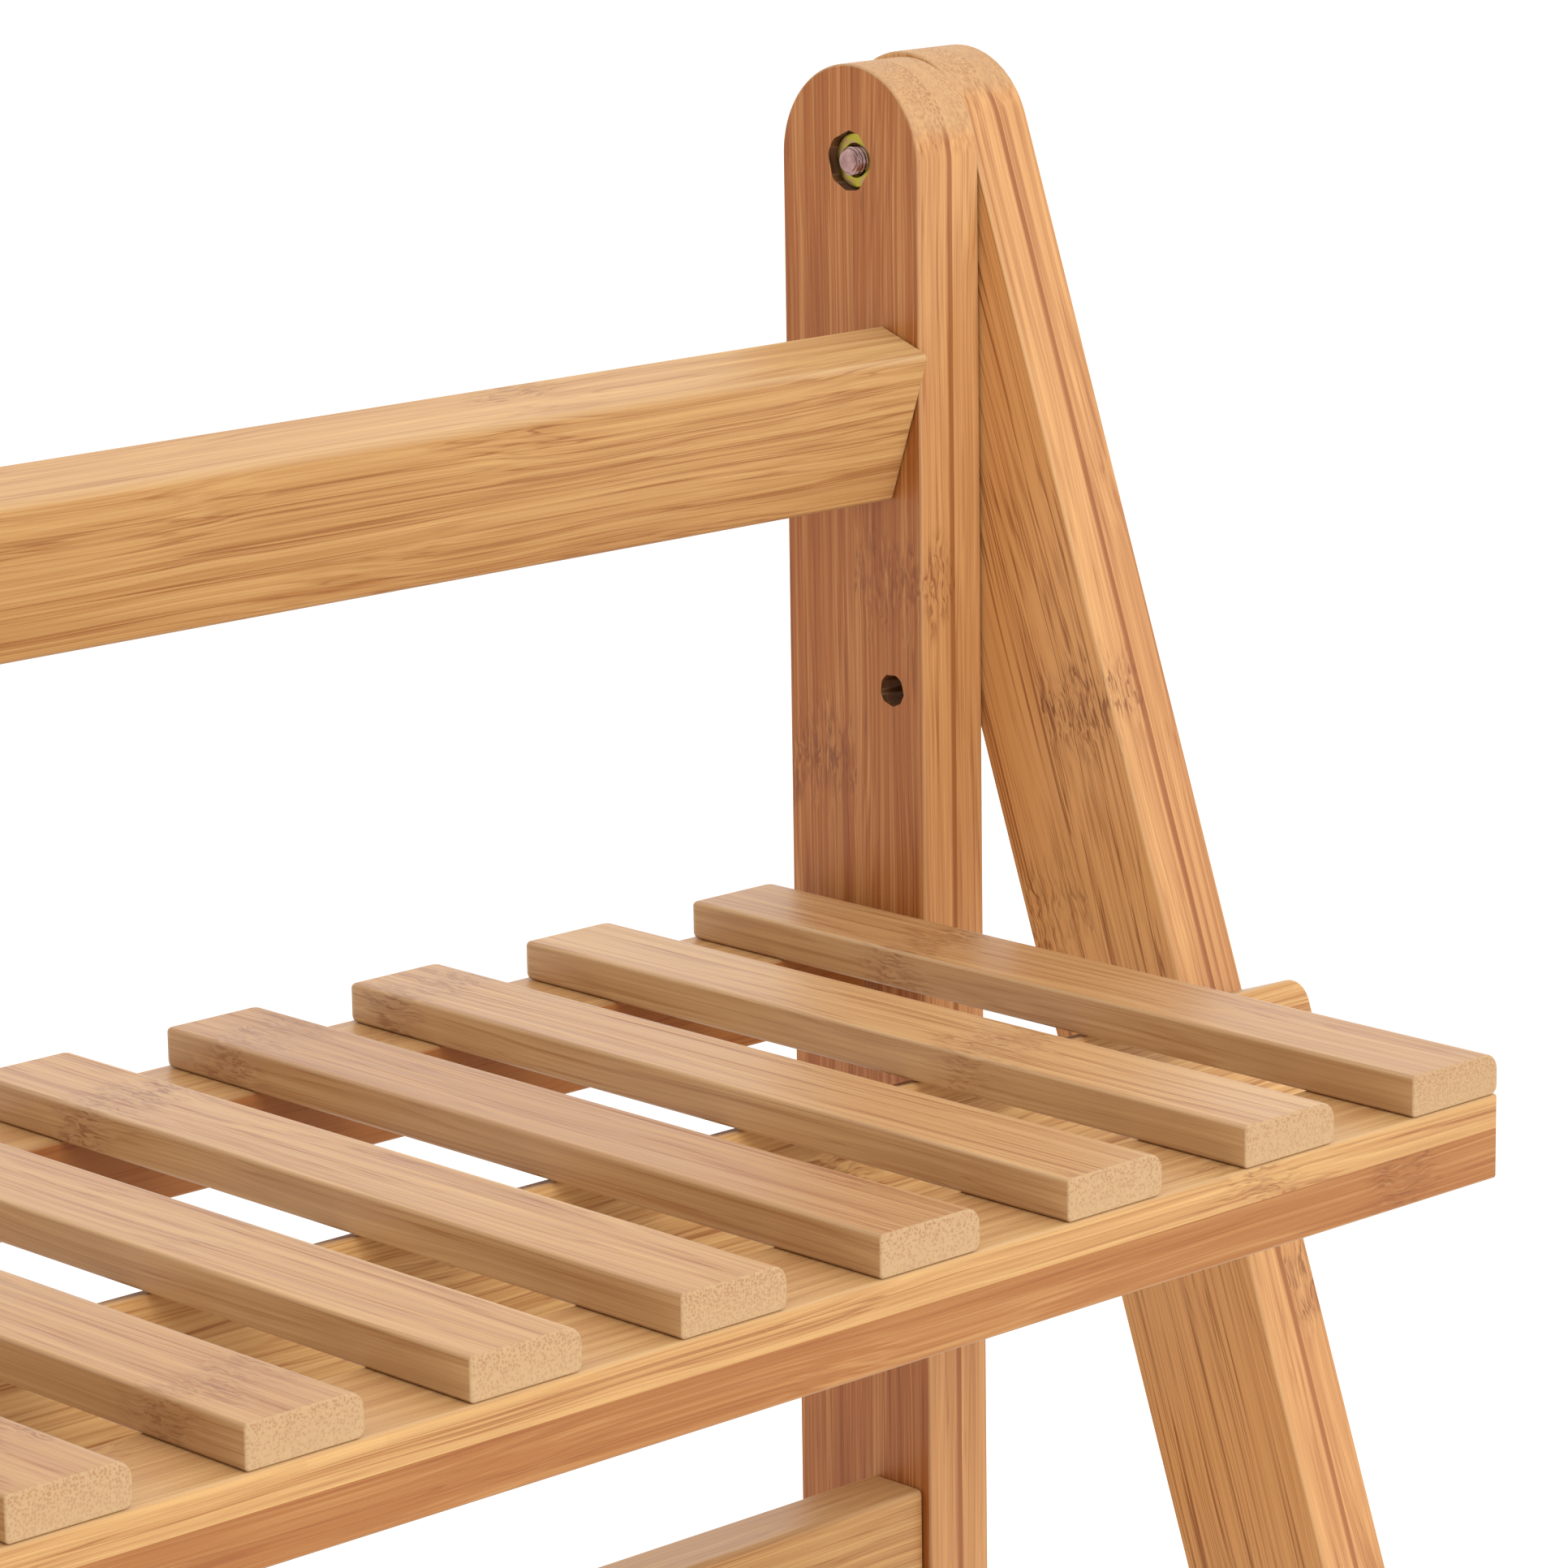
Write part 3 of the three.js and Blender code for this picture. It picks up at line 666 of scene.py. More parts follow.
    # The strip's tone, with broad streaks and a fine low-contrast texture.
    fine_tone = add(tree, "MapRange", (fine, 0.3, 0.7, -0.22, 0.22))
    streaks = add(tree, "MapRange", (streak, 0.32, 0.68, -0.22, 0.22))
    tone = add(tree, "Math", (fine_tone, streaks), operation="ADD")
    # Each piece's own tone on its broad faces: painted shade on the rear shelf rail, and partly painted
    # light on the right leg.
    tone = add(tree, "Math", (flats, piece_tone_and_painted_light, tone), operation="MULTIPLY_ADD")
    own_tone = add(tree, "MapRange", (chance.outputs["Value"], 0, 1, 0.42, 0.68))
    tone = add(tree, "Math", (tone, own_tone), operation="ADD")
    row = add(tree, "SeparateXYZ", (cell,)).outputs[1]
    lowest = add(tree, "Math", (row, 0, 0.5), operation="COMPARE")
    tone = add(tree, "Math", (lowest, lowest_tone, tone), operation="MULTIPLY_ADD", use_clamp=True)
    body = add(tree, "Mix", {0: tone, 6: dark, 7: light}, data_type="RGBA").outputs[2]
    # The layers' own edges are paler and plainer than their faces.
    plain = add(tree, "MapRange", (flats, 0.3, 0.9, 0.2, 0))
    body = add(tree, "Mix", {0: plain, 6: body, 7: look.end_grain}, data_type="RGBA").outputs[2]

    # Crisp dark fibres: thin lines where a long noise passes its middle value, coming and going.
    off_middle = add(tree, "Math", (long_noise, 0.5), operation="SUBTRACT")
    off_middle = add(tree, "Math", (off_middle,), operation="ABSOLUTE")
    strand = add(tree, "MapRange", (off_middle, 0.05, 0.015, 0, 1))
    come_and_go = add(tree, "MapRange", (streak, 0.62, 0.38, 0.1, 0.75))
    strand = add(tree, "Math", (strand, come_and_go), operation="MULTIPLY")
    on_face = add(tree, "MapRange", (flats, 0.3, 0.9, 0.5, 1))
    strand = add(tree, "Math", (strand, on_face), operation="MULTIPLY")
    skin = add(tree, "MapRange", (to_skin, 0.84, 0.92, 0, skin_power), interpolation_type="SMOOTHSTEP")

    # Growth-ring dashes, short and dark, and a faint darker belt round them.
    dash_mask = add(tree, "MapRange", (dash, 0.51, 0.62, 0.15, 1), interpolation_type="SMOOTHSTEP")
    ring_power = add(tree, "MapRange", (strip_parts.outputs[1], 0, 1, 0.45, 0.8))
    dashes = add(tree, "Math", (at_ring, dash_mask), operation="MULTIPLY")
    ring_share = add(tree, "Math", (dashes, ring_power), operation="MULTIPLY")

    # Sawn ends: pale pith with a dark dot for each bundle of fibres, denser towards the skin.
    size = (30, 0.62 * pitch, 0.62 * pitch)
    sized = add(tree, "VectorMath", (timber, size), operation="DIVIDE")
    inputs = {"Vector": sized, "Scale": 1, "Randomness": 0.8}
    bundles = add(tree, "TexVoronoi", inputs, voronoi_dimensions="3D").outputs["Distance"]
    dot = add(tree, "MapRange", (bundles, 0.55, 0.3, 0, 1), interpolation_type="SMOOTHSTEP")
    crowd = add(tree, "MapRange", (to_skin, 0, 1, 0.08, 0.5))
    dots = add(tree, "Math", (dot, crowd), operation="MULTIPLY")
    pith = add(tree, "Mix", {0: end_power, 6: body, 7: look.end_grain}, data_type="RGBA").outputs[2]
    sawn = add(tree, "Mix", {0: dots, 6: pith, 7: look.fibre}, data_type="RGBA").outputs[2]
    end_share = add(tree, "MapRange", (ends, 0.22, 0.45, 0, 1), interpolation_type="SMOOTHSTEP")

    # Sanding leaves the arrises a little paler, and this paler line also stands in for a painted highlight
    # along them. The bores are painted dark inside, which is painted shade.
    sanding_and_highlight_share = add(tree, "Math", (edges, 0.4), operation="MULTIPLY")
    # Painted shade: the walls inside the bores are mixed towards the dark bore colour.
    bored = add(tree, "MapRange", (ends, -0.2, -0.6, 0, 0.85))
    final = body
    for share, coat in (
        (strand, look.fibre),
        (skin, look.fibre),
        (ring_share, look.ring),
        (end_share, sawn),
        (sanding_and_highlight_share, look.end_grain),
        (bored, look.bore),
    ):
        final = add(tree, "Mix", {0: share, 6: final, 7: coat}, data_type="RGBA").outputs[2]

    gloss = add(tree, "MapRange", (fine, 0.3, 0.7, 0.36, 0.5))
    gloss = add(tree, "Math", (end_share, 0.25, gloss), operation="MULTIPLY_ADD")
    pores = add(tree, "Math", (dot, end_share, strand), operation="MULTIPLY_ADD")
    relief = add(tree, "Math", (fine, 1, pores), operation="MULTIPLY_ADD")
    # The grain stands in relief by a few hundredths of a millimetre.
    bump = add(tree, "Bump", {"Strength": 0.5, "Distance": 0.05 * MM, "Height": relief}, invert=True)
    join(tree, shader, {"Base Color": final, "Roughness": gloss, "Normal": bump, "IOR": 1.36})
    return material


def zinc_plate():
    """Zinc-plated steel, drawn and thread-rolled: a bright metal with a pinkish, blotchy film."""
    look = bpy.context.scene.bench_finishes
    material, tree, shader = new_material("zinc_plated_steel")
    place = add(tree, "TexCoord").outputs["Object"]
    # A pinkish film in blotches of about 2 mm.
    blotch = add(tree, "TexNoise", {"Vector": place, "Scale": 1 / (2 * MM), "Detail": 3})
    tint = add(tree, "Mix", {0: blotch, 6: look.zinc, 7: srgb("#6d4346")}, data_type="RGBA").outputs[2]
    gloss = add(tree, "MapRange", (blotch, 0.3, 0.7, 0.12, 0.28))
    join(tree, shader, {"Base Color": tint, "Roughness": gloss, "Metallic": 1})
    return material


def yellow_zinc():
    """Yellow-passivated zinc on steel: an olive-gold film with patches of pink in it."""
    look = bpy.context.scene.bench_finishes
    material, tree, shader = new_material("yellow_passivated_zinc")
    place = add(tree, "TexCoord").outputs["Object"]
    # The film's colours change over about 2 mm.
    film = add(tree, "TexNoise", {"Vector": place, "Scale": 1 / (2 * MM), "Detail": 2})
    share = add(tree, "MapRange", (film, 0.5, 0.75, 0, 0.8))
    tint = add(
        tree, "Mix", {0: share, 6: look.passivate, 7: look.passivate_pink}, data_type="RGBA"
    ).outputs[2]
    gloss = add(tree, "MapRange", (film, 0.3, 0.7, 0.25, 0.4))
    join(tree, shader, {"Base Color": tint, "Roughness": gloss, "Metallic": 1})
    return material


def nylon():
    """Moulded natural nylon: milky, slightly waxy, with a faint moulded texture."""
    look = bpy.context.scene.bench_finishes
    material, tree, shader = new_material("moulded_nylon")
    place = add(tree, "TexCoord").outputs["Object"]
    # A moulded surface's grain of about 0.4 mm.
    grain = add(tree, "TexNoise", {"Vector": place, "Scale": 1 / (0.4 * MM), "Detail": 2})
    tint = add(tree, "Mix", {0: grain, 6: look.nylon, 7: srgb("#d8d3c4")}, data_type="RGBA").outputs[2]
    bump = add(tree, "Bump", {"Strength": 0.2, "Distance": 0.05 * MM, "Height": grain})
    join(tree, shader, {"Base Color": tint, "Normal": bump, "Roughness": 0.45, "IOR": 1.53})
    return material


MADE = {}


def material_for(slot):
    """The material of a record slot, made the first time that it is asked for."""
    look = bpy.context.scene.bench_finishes
    strips = {"upright": look.strip_width, "rail": RAIL_STRIP, "slat": 2 * look.strip_width}
    others = {"zinc_steel": zinc_plate, "yellow_zinc": yellow_zinc, "nylon": nylon}
    if slot in MADE:
        return MADE[slot]
    if slot in others:
        MADE[slot] = others[slot]()
    else:
        stock = slot.removeprefix("bamboo_")
        tones = getattr(look, f"{stock}_light"), getattr(look, f"{stock}_dark")
        MADE[slot] = bamboo(slot, *tones, (strips[stock], look.layer), *LAY_UPS[stock])
    return MADE[slot]


# ---- Places taken from the frame ----------------------------------------------------------

ALONG_X = ((0, 1, 0), (0, 0, 1), (1, 0, 0))
ALONG_MINUS_Y = ((1, 0, 0), (0, 0, 1), (0, -1, 0))


def middle(node):
    """The centre of a frame node's box."""
    low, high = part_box(node)
    return (low + high) / 2


def pivot():
    """Y and Z of the leg bolts' axis."""
    point = middle("pivot_bolt_right")
    return point.y, point.z


def pocket(centre, profile, face, **more):
    """A bore for eased_prism: its centre in the outline, its profile and the face it opens on."""
    return {"centre": np.array(centre, float), "profile": profile, "face": face, **more}


class BenchOperator:
    """What the bench's operators share."""

    bl_options = {"REGISTER", "UNDO"}


class BENCH_OT_posts(BenchOperator, bpy.types.Operator):
    """Upright rear posts with half-round tops and their bores"""

    bl_idname = "bench.posts"
    bl_label = "Posts"

    def execute(self, context):
        sizes = context.scene.bench_shapes
        gap = sizes.bore_gap
        pivot_y, pivot_z = pivot()
        for side_name, side in SIDES:
            node = f"post_{side_name}"
            low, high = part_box(node)
            thick, half = high.x - low.x, (high.y - low.y) / 2
            inner, outer = ("front", "back") if side > 0 else ("back", "front")
            nut_low, nut_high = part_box(f"pivot_nut_{side_name}")
            nut_end = max(abs(nut_low.x), abs(nut_high.x)) - min(abs(low.x), abs(high.x)) + gap
            nut_radius = (nut_high.z - nut_low.z) / 2 + gap
            bolt_radius = BOLT_RADIUS + gap
            bores = [
                pocket(
                    (pivot_y - low.y, pivot_z),
                    [(nut_radius, 0), (nut_radius, nut_end), (bolt_radius, nut_end), (bolt_radius, thick)],
                    inner,
                    through=True,
                    ragged=0.03,
                )
            ]
            for tier in TIERS:
                shelf_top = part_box(f"{tier}_slat_01")[1].z
                peg = (high.y - sizes.peg_forward - low.y, shelf_top + sizes.peg_above)
                radius = sizes.peg_diameter / 2
                bores.append(pocket(peg, [(radius, 0), (radius, PEG_HOLE_DEPTH)], inner, ragged=0.05))
                for kind in ("guard_rail_screw", "pin"):
                    name = f"{tier}_shelf_pin_{side_name}"
                    if kind == "guard_rail_screw":
                        name = f"guard_rail_screw_{tier}_{side_name}"
                    screw_low, screw_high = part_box(name)
                    place = (screw_low + screw_high) / 2
                    head = (screw_high.z - screw_low.z) / 2 + gap
                    shank = 0.55 * head
                    profile = [(head, 0), (head, gap), (shank, COUNTERSINK), (shank, thick)]
                    centre = (place.y - low.y, place.z)
                    bores.append(pocket(centre, profile, outer, through=True, steps=32))
            corners = box_corners(0, 0, 2 * half, high.z)
            shell = eased_prism(
                corners, [sizes.arris, sizes.arris, half, half], thick, sizes.arris, bores, seeded(node)
            )
            origin = (low.x, low.y, 0)
            wooden_piece(node, shell, ALONG_X, origin, "vuw", "rear_frame", "bamboo_upright")
        return {"FINISHED"}


class BENCH_OT_legs(BenchOperator, bpy.types.Operator):
    """Slanted front legs with half-round tops and feet cut level"""

    bl_idname = "bench.legs"
    bl_label = "Legs"

    def execute(self, context):
        sizes = context.scene.bench_shapes
        spread = sizes.leg_spread
        pivot_y, pivot_z = pivot()
        half = sizes.leg_width / 2
        front, rear = sizes.leg_set_back - half, sizes.leg_set_back + half
        axes = (
            (0, math.cos(spread), -math.sin(spread)),
            (0, math.sin(spread), math.cos(spread)),
            (1, 0, 0),
        )
        foot_front = -(pivot_z - front * math.sin(spread)) / math.cos(spread)
        foot_rear = -(pivot_z - rear * math.sin(spread)) / math.cos(spread)
        top = sizes.leg_top_rise + half
        corners = [(front, foot_front), (rear, foot_rear), (rear, top), (front, top)]
        for side_name, _ in SIDES:
            node = f"leg_{side_name}"
            low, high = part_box(node)
            bolt_radius = BOLT_RADIUS + sizes.bore_gap
            thick = high.x - low.x
            profile = [(bolt_radius, 0), (bolt_radius, thick)]
            bores = [pocket((0, 0), profile, "front", through=True)]
            shell = eased_prism(
                corners, [sizes.arris, sizes.arris, half, half], thick, sizes.arris, bores, seeded(node)
            )
            origin = (low.x, pivot_y, pivot_z)
            wooden_piece(node, shell, axes, origin, "vuw", "front_frame", "bamboo_upright")
        return {"FINISHED"}


class BENCH_OT_cross_bars(BenchOperator, bpy.types.Operator):
    """Bars across the legs' front faces that the shelves rest on"""

    bl_idname = "bench.cross_bars"
    bl_label = "Cross bars"

    def execute(self, context):
        sizes = context.scene.bench_shapes
        spread = sizes.leg_spread
        up = Vector((0, math.sin(spread), math.cos(spread)))
        front = Vector((0, -math.cos(spread), math.sin(spread)))
        for tier in TIERS:
            node = f"cross_bar_{tier}"
            low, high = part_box(node)
            centre = middle(node)
            half_length, half_width = (high.x - low.x) / 2, sizes.bar_width / 2
            bores = []
            for side_name, _ in SIDES:
                place = middle(f"cross_bar_screw_{tier}_{side_name}")
                gap = sizes.bore_gap
                head, shank = SCREW_HEAD + gap, SCREW_SHANK + gap
                profile = [(head, 0), (head, gap), (shank, COUNTERSINK), (shank, sizes.stock_thick)]
                bores.append(pocket((place.x, 0), profile, "back", through=True, steps=32))
            corners = box_corners(-half_length, -half_width, half_length, half_width)
            shell = eased_prism(
                corners, [sizes.bar_round] * 4, sizes.stock_thick, sizes.arris, bores, seeded(node)
            )
            origin = centre - front * (sizes.stock_thick / 2)
            axes = ((1, 0, 0), up, front)
            wooden_piece(node, shell, axes, origin, "uvw", "front_frame", "bamboo_rail")
        return {"FINISHED"}


class BENCH_OT_shelf_rails(BenchOperator, bpy.types.Operator):
    """Front and rear rails of both shelves"""

    bl_idname = "bench.shelf_rails"
    bl_label = "Shelf rails"

    def execute(self, context):
        sizes = context.scene.bench_shapes
        for tier in TIERS:
            for place in ("rear", "front"):
                node = f"{tier}_shelf_{place}_rail"
                low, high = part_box(node)
                length = high.x - low.x
                bores = []
                if place == "rear":
                    pin = middle(f"{tier}_shelf_pin_right")
                    radius = PIN_RADIUS + sizes.bore_gap
                    centre = (pin.y - low.y, pin.z - low.z)
                    profile = [(radius, 0), (radius, PIN_BORE_DEPTH)]
                    bores = [pocket(centre, profile, face, steps=32) for face in ("front", "back")]
                corners = box_corners(0, 0, high.y - low.y, high.z - low.z)
                shell = eased_prism(
                    corners, [sizes.arris] * 4, length, sizes.end_ease, bores, seeded(node)
                )
                body = f"{tier}_shelf"
                wooden_piece(node, shell, ALONG_X, low, "wvu", body, "bamboo_rail")
        return {"FINISHED"}


class BENCH_OT_slats(BenchOperator, bpy.types.Operator):
    """Slats of both shelves, with a small round on the left and a large one on the right"""

    bl_idname = "bench.slats"
    bl_label = "Slats"

    def execute(self, context):
        sizes = context.scene.bench_shapes
        for tier in TIERS:
            for number in range(1, SLATS + 1):
                node = f"{tier}_slat_{number:02d}"
                low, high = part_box(node)
                corners = box_corners(0, 0, high.x - low.x, high.z - low.z)
                radii = [sizes.slat_ease, sizes.slat_under, sizes.slat_round, sizes.slat_ease]
                shell = eased_prism(
                    corners, radii, high.y - low.y, sizes.end_ease, worn=sizes.slat_rear_ease
                )
                origin = (low.x, high.y, low.z)
                body = f"{tier}_shelf"
                wooden_piece(node, shell, ALONG_MINUS_Y, origin, "wuv", body, "bamboo_slat")
        return {"FINISHED"}


class BENCH_OT_guard_rails(BenchOperator, bpy.types.Operator):
    """Guard rails above the shelves, the upper one tilted"""

    bl_idname = "bench.guard_rails"
    bl_label = "Guard rails"

    def execute(self, context):
        sizes = context.scene.bench_shapes
        for tier, tilt in zip(TIERS, (sizes.rail_tilt, 0)):
            node = f"guard_rail_{tier}"
            low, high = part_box(node)
            centre = middle(node)
            half_thick, half_height = sizes.rail_thick / 2, sizes.rail_height / 2
            axes = (
                (0, math.cos(tilt), math.sin(tilt)),
                (0, -math.sin(tilt), math.cos(tilt)),
                (1, 0, 0),
            )
            radius = SCREW_SHANK + sizes.bore_gap
            profile = [(radius, 0), (radius, RAIL_BORE_DEPTH)]
            bores = [pocket((0, 0), profile, face, steps=32) for face in ("front", "back")]
            corners = box_corners(-half_thick, -half_height, half_thick, half_height)
            shell = eased_prism(
                corners, [sizes.rail_ease] * 4, high.x - low.x, sizes.end_ease, bores, seeded(node)
            )
            origin = (low.x, centre.y, centre.z)
            body = f"{tier}_guard_rail"
            wooden_piece(node, shell, axes, origin, "wvu", body, "bamboo_rail")
        return {"FINISHED"}


class BENCH_OT_bolts(BenchOperator, bpy.types.Operator):
    """Leg bolts with a rolled thread and a hexagon socket, their sleeve nuts and washers"""

    bl_idname = "bench.bolts"
    bl_label = "Bolts, nuts and washers"

    def execute(self, context):
        sizes = context.scene.bench_shapes
        pitch = sizes.thread_pitch
        for side_name, side in SIDES:
            node = f"pivot_bolt_{side_name}"
            low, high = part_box(node)
            centre = middle(node)
            length = high.x - low.x
            head_radius = (high.z - low.z) / 2
            radius, head, chamfer, threaded_to = BOLT_RADIUS, 2.2 * MM, 0.7 * MM, 20 * MM
            thread = dense([(radius - chamfer, 0), (radius, chamfer), (radius, threaded_to)], pitch / 14)
            shank = [(radius, threaded_to + 0.2 * MM), (radius, length - head)]
            cup = dense([(head_radius - chamfer, length), (0.1 * MM, length)], 0.12 * MM)
            crown = [(head_radius, length - head), (head_radius, length - chamfer)]
            profile = dense([(0.1 * MM, 0), (radius - chamfer, 0)], 0.3 * MM) + thread[1:]
            profile += shank + crown + cup
            rings = profile_rings(profile, 96)
            angle = np.linspace(0, 2 * np.pi, 96, endpoint=False)
            # The thread: the radius falls by a rounded triangle wave that climbs one pitch a turn.
            phase = rings[..., 2] / pitch - angle[None] / (2 * np.pi)
            wave = 0.5 - 0.5 * np.cos(2 * np.pi * phase)
            outside = np.hypot(rings[..., 0], rings[..., 1])
            threaded = (rings[..., 2] < threaded_to) & (outside > radius - 0.5 * MM)
            cut_in = 1 - 0.45 * MM * wave * threaded / np.maximum(outside, 1e-6)
            rings[..., :2] *= cut_in[..., None]
            at_head = rings[..., 2] > length - 0.5 * chamfer
            socket = hexagon_recess(rings[..., 0], rings[..., 1], 4 * MM)
            sink(rings, np.where(at_head, socket, 0), 0.1 * MM, 1.6 * MM)
            origin = (high.x - length if side > 0 else low.x + length, centre.y, centre.z)
            axis = (side, 0, 0)
            turned_piece(node, rings, axis, origin, "rear_frame", "zinc_steel")

            nut = f"pivot_nut_{side_name}"
            low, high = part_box(nut)
            outer, inner = (high.z - low.z) / 2, radius + sizes.bore_gap / 2
            long, bevel = high.x - low.x, 0.5 * MM
            profile = [
                (inner + bevel, 0),
                (outer - bevel, 0),
                (outer, bevel),
                (outer, long - bevel),
                (outer - bevel, long),
                (inner, long),
                (inner, bevel),
                (inner + bevel, 0),
            ]
            start = low.x if side > 0 else high.x
            rings = profile_rings(profile, 64)
            turned_piece(nut, rings, axis, (start, centre.y, centre.z), "rear_frame", "yellow_zinc")

            washer = f"pivot_washer_{side_name}"
            low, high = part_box(washer)
            outer, inner, thick = (high.z - low.z) / 2, radius + sizes.bore_gap, high.x - low.x
            start = low.x if side > 0 else high.x
            rings = profile_rings(ring_section(inner, outer, thick, thick / 4), 64)
            turned_piece(washer, rings, axis, (start, centre.y, centre.z), "rear_frame", "nylon")
        return {"FINISHED"}


def screw_rings(length, shank, head, head_depth, pitch):
    """A countersunk screw with a cross recess: a cone head, a shank with a coarse thread, a point.

    The shank's radius falls by a sharp wave that climbs one pitch a turn.
    """
    steps = 72
    top = dense([(head - 0.2 * MM, 0), (0.1 * MM, 0)], 0.16 * MM)
    full = -length + 6 * MM
    body = dense([(0.1 * MM, -length), (shank * 0.6, -length + 3 * MM), (shank, full)], pitch / 8)
    body += dense([(shank, full), (shank, -head_depth)], pitch / 8)[1:]
    profile = body + [(head, -0.3 * MM)] + top
    rings = profile_rings(profile, steps)
    angle = np.linspace(0, 2 * np.pi, steps, endpoint=False)
    phase = rings[..., 2] / pitch - angle[None] / (2 * np.pi)
    wave = (0.5 - 0.5 * np.cos(2 * np.pi * phase)) ** 0.5
    threaded = (rings[..., 2] < -head_depth - 4 * MM) & (rings[..., 2] > -length + 0.5 * MM)
    rings[..., :2] *= (1 - 0.22 * wave * threaded)[..., None]
    on_top = rings[..., 2] > -0.05 * MM
    cross = cross_recess(rings[..., 0], rings[..., 1], 0.52 * head, 0.26 * head)
    return sink(rings, np.where(on_top, cross, 0), 0.12 * MM, 1.5 * MM)


class BENCH_OT_screws(BenchOperator, bpy.types.Operator):
    """Countersunk screws of the cross bars and guard rails, and the shelves' hinge pins"""

    bl_idname = "bench.screws"
    bl_label = "Screws and hinge pins"

    def execute(self, context):
        sizes = context.scene.bench_shapes
        spread = sizes.leg_spread
        front = Vector((0, -math.cos(spread), math.sin(spread)))
        outer_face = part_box("post_right")[1].x
        screw = (SCREW_SHANK, SCREW_HEAD, SCREW_HEAD_DEPTH, SCREW_PITCH)
        for tier in TIERS:
            for side_name, side in SIDES:
                node = f"cross_bar_screw_{tier}_{side_name}"
                bar = middle(f"cross_bar_{tier}")
                head_at = bar + front * (sizes.stock_thick / 2)
                head_at.x = middle(node).x
                rings = screw_rings(BAR_SCREW_LENGTH, *screw)
                turned_piece(node, rings, front, head_at, "front_frame", "zinc_steel")

                node = f"guard_rail_screw_{tier}_{side_name}"
                place = middle(node)
                rings = screw_rings(RAIL_SCREW_LENGTH, *screw)
                origin = (side * outer_face, place.y, place.z)
                body = f"{tier}_guard_rail"
                turned_piece(node, rings, (side, 0, 0), origin, body, "zinc_steel")

                node = f"{tier}_shelf_pin_{side_name}"
                low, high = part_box(node)
                place = middle(node)
                rings = screw_rings(high.x - low.x, PIN_RADIUS, (high.z - low.z) / 2, 3 * MM, 2 * MM)
                origin = (side * outer_face, place.y, place.z)
                body = f"{tier}_shelf"
                turned_piece(node, rings, (side, 0, 0), origin, body, "zinc_steel")
        return {"FINISHED"}


class BENCH_OT_spacers(BenchOperator, bpy.types.Operator):
    """Nylon spacers between the shelves' rear rails and the posts"""

    bl_idname = "bench.spacers"
    bl_label = "Spacers"

    def execute(self, context):
        sizes = context.scene.bench_shapes
        for tier in TIERS:
            for side_name, side in SIDES:
                node = f"{tier}_shelf_spacer_{side_name}"
                low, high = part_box(node)
                centre = middle(node)
                long, outer = high.x - low.x, (high.z - low.z) / 2
                inner, lip = PIN_RADIUS + sizes.bore_gap, 0.6 * MM
                start = low.x if side > 0 else high.x
                rings = profile_rings(ring_section(inner, outer, long, lip), 64)
                origin = (start, centre.y, centre.z)
                turned_piece(node, rings, (side, 0, 0), origin, f"{tier}_shelf", "nylon")
        return {"FINISHED"}


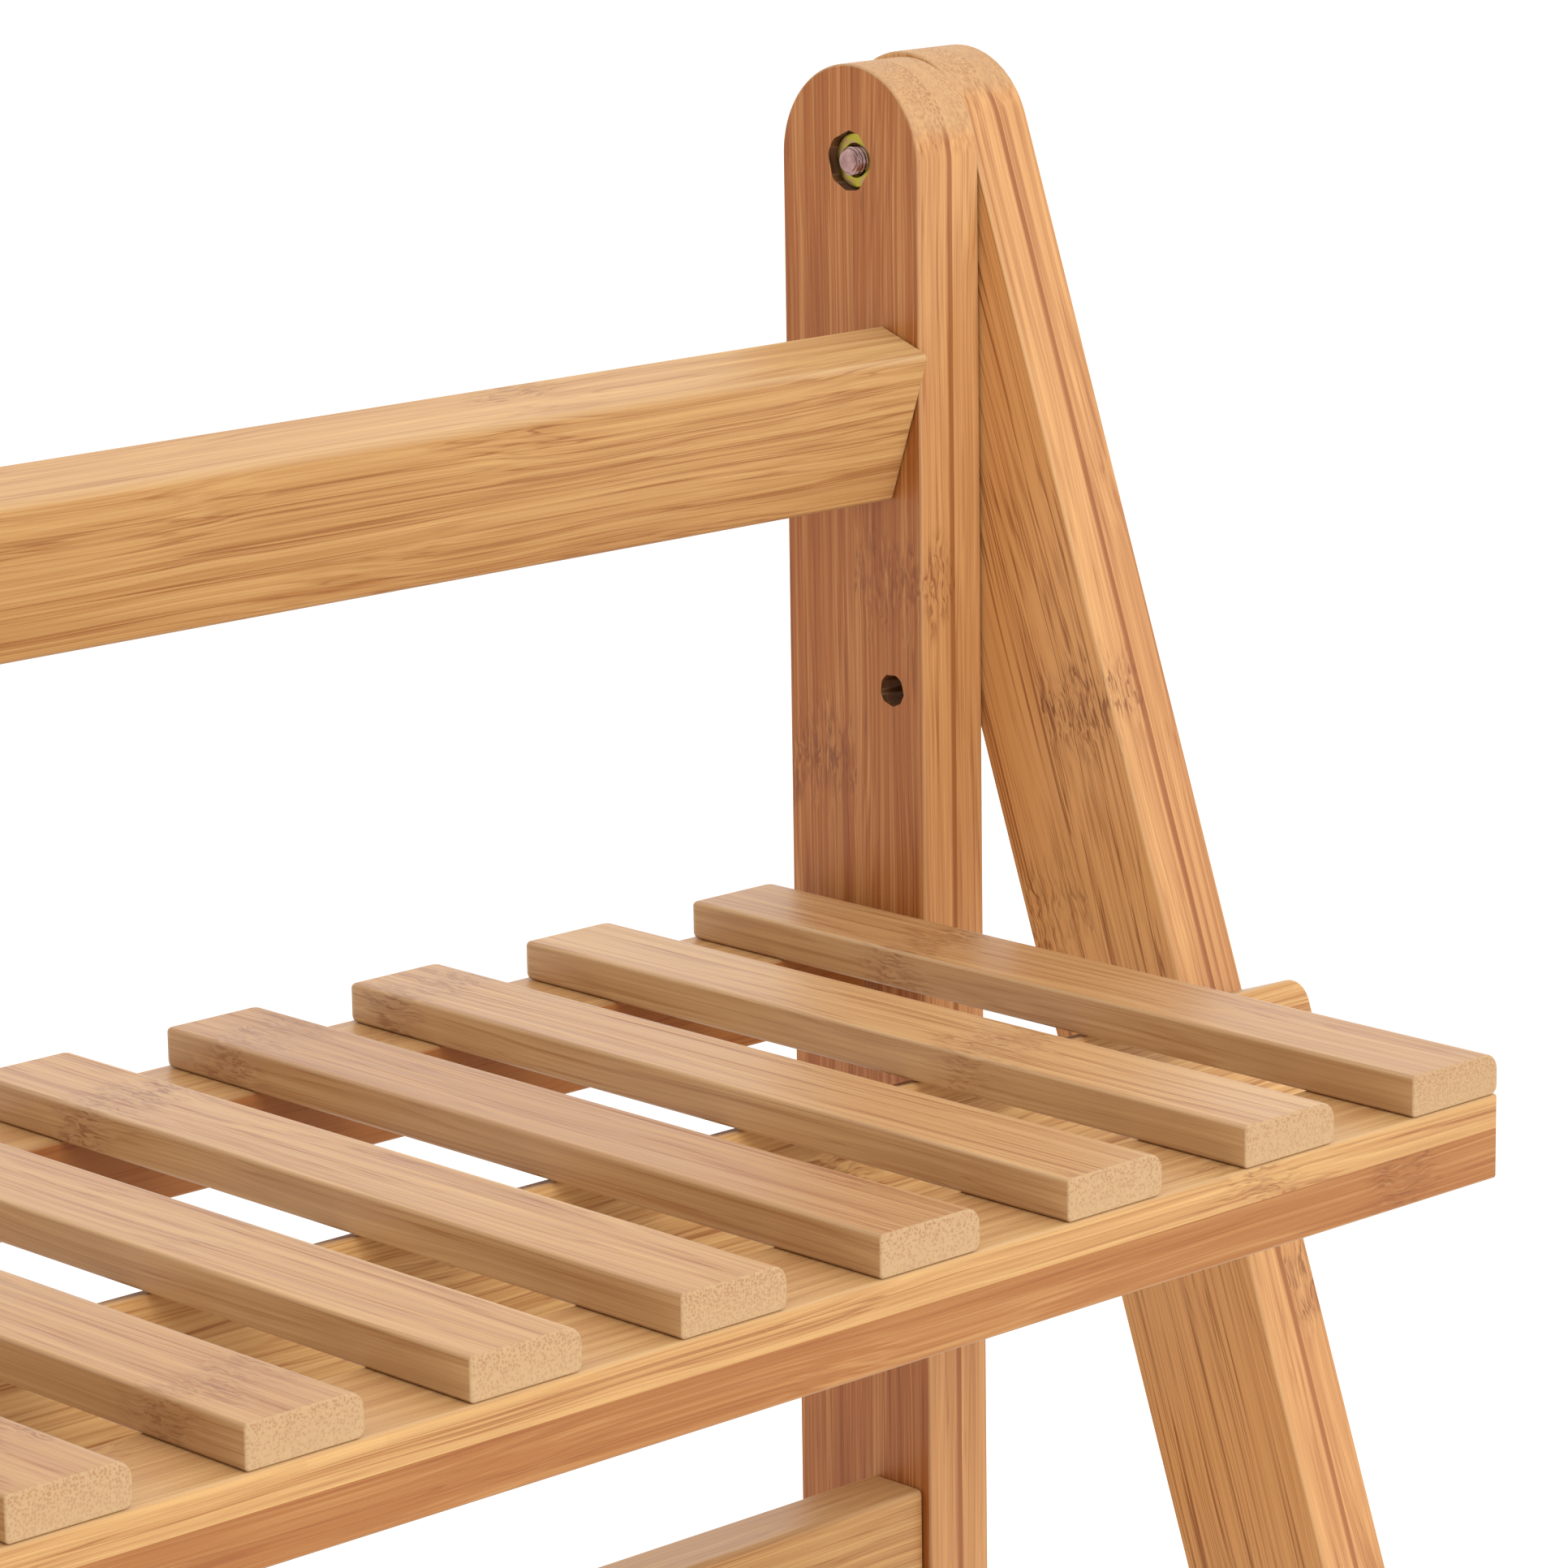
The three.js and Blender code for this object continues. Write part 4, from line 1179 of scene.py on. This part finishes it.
class BENCH_OT_stage(BenchOperator, bpy.types.Operator):
    """Plain pale floor, white surround, one large soft light and the camera"""

    bl_idname = "bench.stage"
    bl_label = "Stage"

    def execute(self, context):
        scene = context.scene
        look = scene.bench_stage
        reach = 30
        floor_mesh = bpy.data.meshes.new("floor")
        corners = [(-reach, -reach, 0), (reach, -reach, 0), (reach, reach, 0), (-reach, reach, 0)]
        floor_mesh.from_pydata(corners, [], [(0, 1, 2, 3)])
        material, tree, shader = new_material("matt_paper_floor")
        place = add(tree, "TexCoord").outputs["Object"]
        tooth = add(tree, "TexNoise", {"Vector": place, "Scale": 40, "Detail": 2})
        tint = add(
            tree, "Mix", {0: tooth, 6: look.floor_colour, 7: srgb("#f1f0ee")}, data_type="RGBA"
        ).outputs[2]
        join(tree, shader, {"Base Color": tint, "Roughness": 0.9, "Specular IOR Level": 0.1})
        floor_mesh.materials.append(material)
        floor = bpy.data.objects.new("floor", floor_mesh)
        scene.collection.objects.link(floor)

        world = bpy.data.worlds.new("white_surround")
        world.use_nodes = True
        sky = world.node_tree
        toward = add(sky, "TexCoord").outputs["Generated"]
        lit = Vector((0.75, 0.35, 0.4)).normalized()
        facing = add(sky, "VectorMath", (toward, lit), operation="DOT_PRODUCT")
        strength = add(sky, "MapRange", (facing.outputs["Value"], -1, 1, look.shade, look.sky))
        background = sky.nodes["Background"]
        join(sky, background, ((1, 1, 1, 1), strength))
        scene.world = world

        key = bpy.data.lights.new("key", "AREA")
        key.shape, key.size, key.energy = "DISK", 1.4, look.key_power
        key_object = bpy.data.objects.new("key", key)
        scene.collection.objects.link(key_object)
        position, target = Vector((-0.1, -2, 1.4)), Vector((0.3, 0, 0.4))
        key_object.location = position
        key_object.rotation_euler = (target - position).to_track_quat("-Z", "Y").to_euler()

        camera = bpy.data.cameras.new("camera")
        camera.sensor_width = 36
        camera.lens = look.lens
        camera.clip_end = 100
        camera_object = bpy.data.objects.new("camera", camera)
        scene.collection.objects.link(camera_object)
        place = Matrix.Translation(look.offset)
        heading = Matrix.Rotation(-look.azimuth, 4, "Z")
        pitch = Matrix.Rotation(math.pi / 2 - look.elevation, 4, "X")
        roll = Matrix.Rotation(look.roll, 4, "Z")
        camera_object.matrix_world = place @ heading @ pitch @ roll
        scene.camera = camera_object
        scene.view_settings.view_transform = "Standard"
        return {"FINISHED"}


OPERATORS = (
    BENCH_OT_posts,
    BENCH_OT_legs,
    BENCH_OT_cross_bars,
    BENCH_OT_shelf_rails,
    BENCH_OT_slats,
    BENCH_OT_guard_rails,
    BENCH_OT_bolts,
    BENCH_OT_screws,
    BENCH_OT_spacers,
    BENCH_OT_stage,
)
GROUPS = (
    ("bench_shapes", BenchShapes),
    ("bench_finishes", BenchFinishes),
    ("bench_stage", BenchStage),
)


class BENCH_PT_panel(bpy.types.Panel):
    """Lists the bench's settings and pieces in the sidebar"""

    bl_idname = "BENCH_PT_panel"
    bl_label = "Bamboo folding bench"
    bl_space_type = "VIEW_3D"
    bl_region_type = "UI"
    bl_category = "Bench"

    def draw(self, context):
        for operator in OPERATORS:
            self.layout.operator(operator.bl_idname)
        for name, group in GROUPS:
            box = self.layout.box()
            for prop in group.__annotations__:
                box.prop(getattr(context.scene, name), prop)


def register():
    """Registers the settings, the operators and the panel."""
    for name, group in GROUPS:
        bpy.utils.register_class(group)
        setattr(bpy.types.Scene, name, PointerProperty(type=group))
    for cls in (*OPERATORS, BENCH_PT_panel):
        bpy.utils.register_class(cls)


def unregister():
    """Takes everything that register added away again."""
    for cls in (BENCH_PT_panel, *reversed(OPERATORS)):
        bpy.utils.unregister_class(cls)
    for name, group in reversed(GROUPS):
        delattr(bpy.types.Scene, name)
        bpy.utils.unregister_class(group)


def main():
    """Builds every piece and the stage."""
    register()
    bpy.ops.bench.posts()
    bpy.ops.bench.legs()
    bpy.ops.bench.cross_bars()
    bpy.ops.bench.shelf_rails()
    bpy.ops.bench.slats()
    bpy.ops.bench.guard_rails()
    bpy.ops.bench.bolts()
    bpy.ops.bench.screws()
    bpy.ops.bench.spacers()
    bpy.ops.bench.stage()


if __name__ == "__main__":
    main()
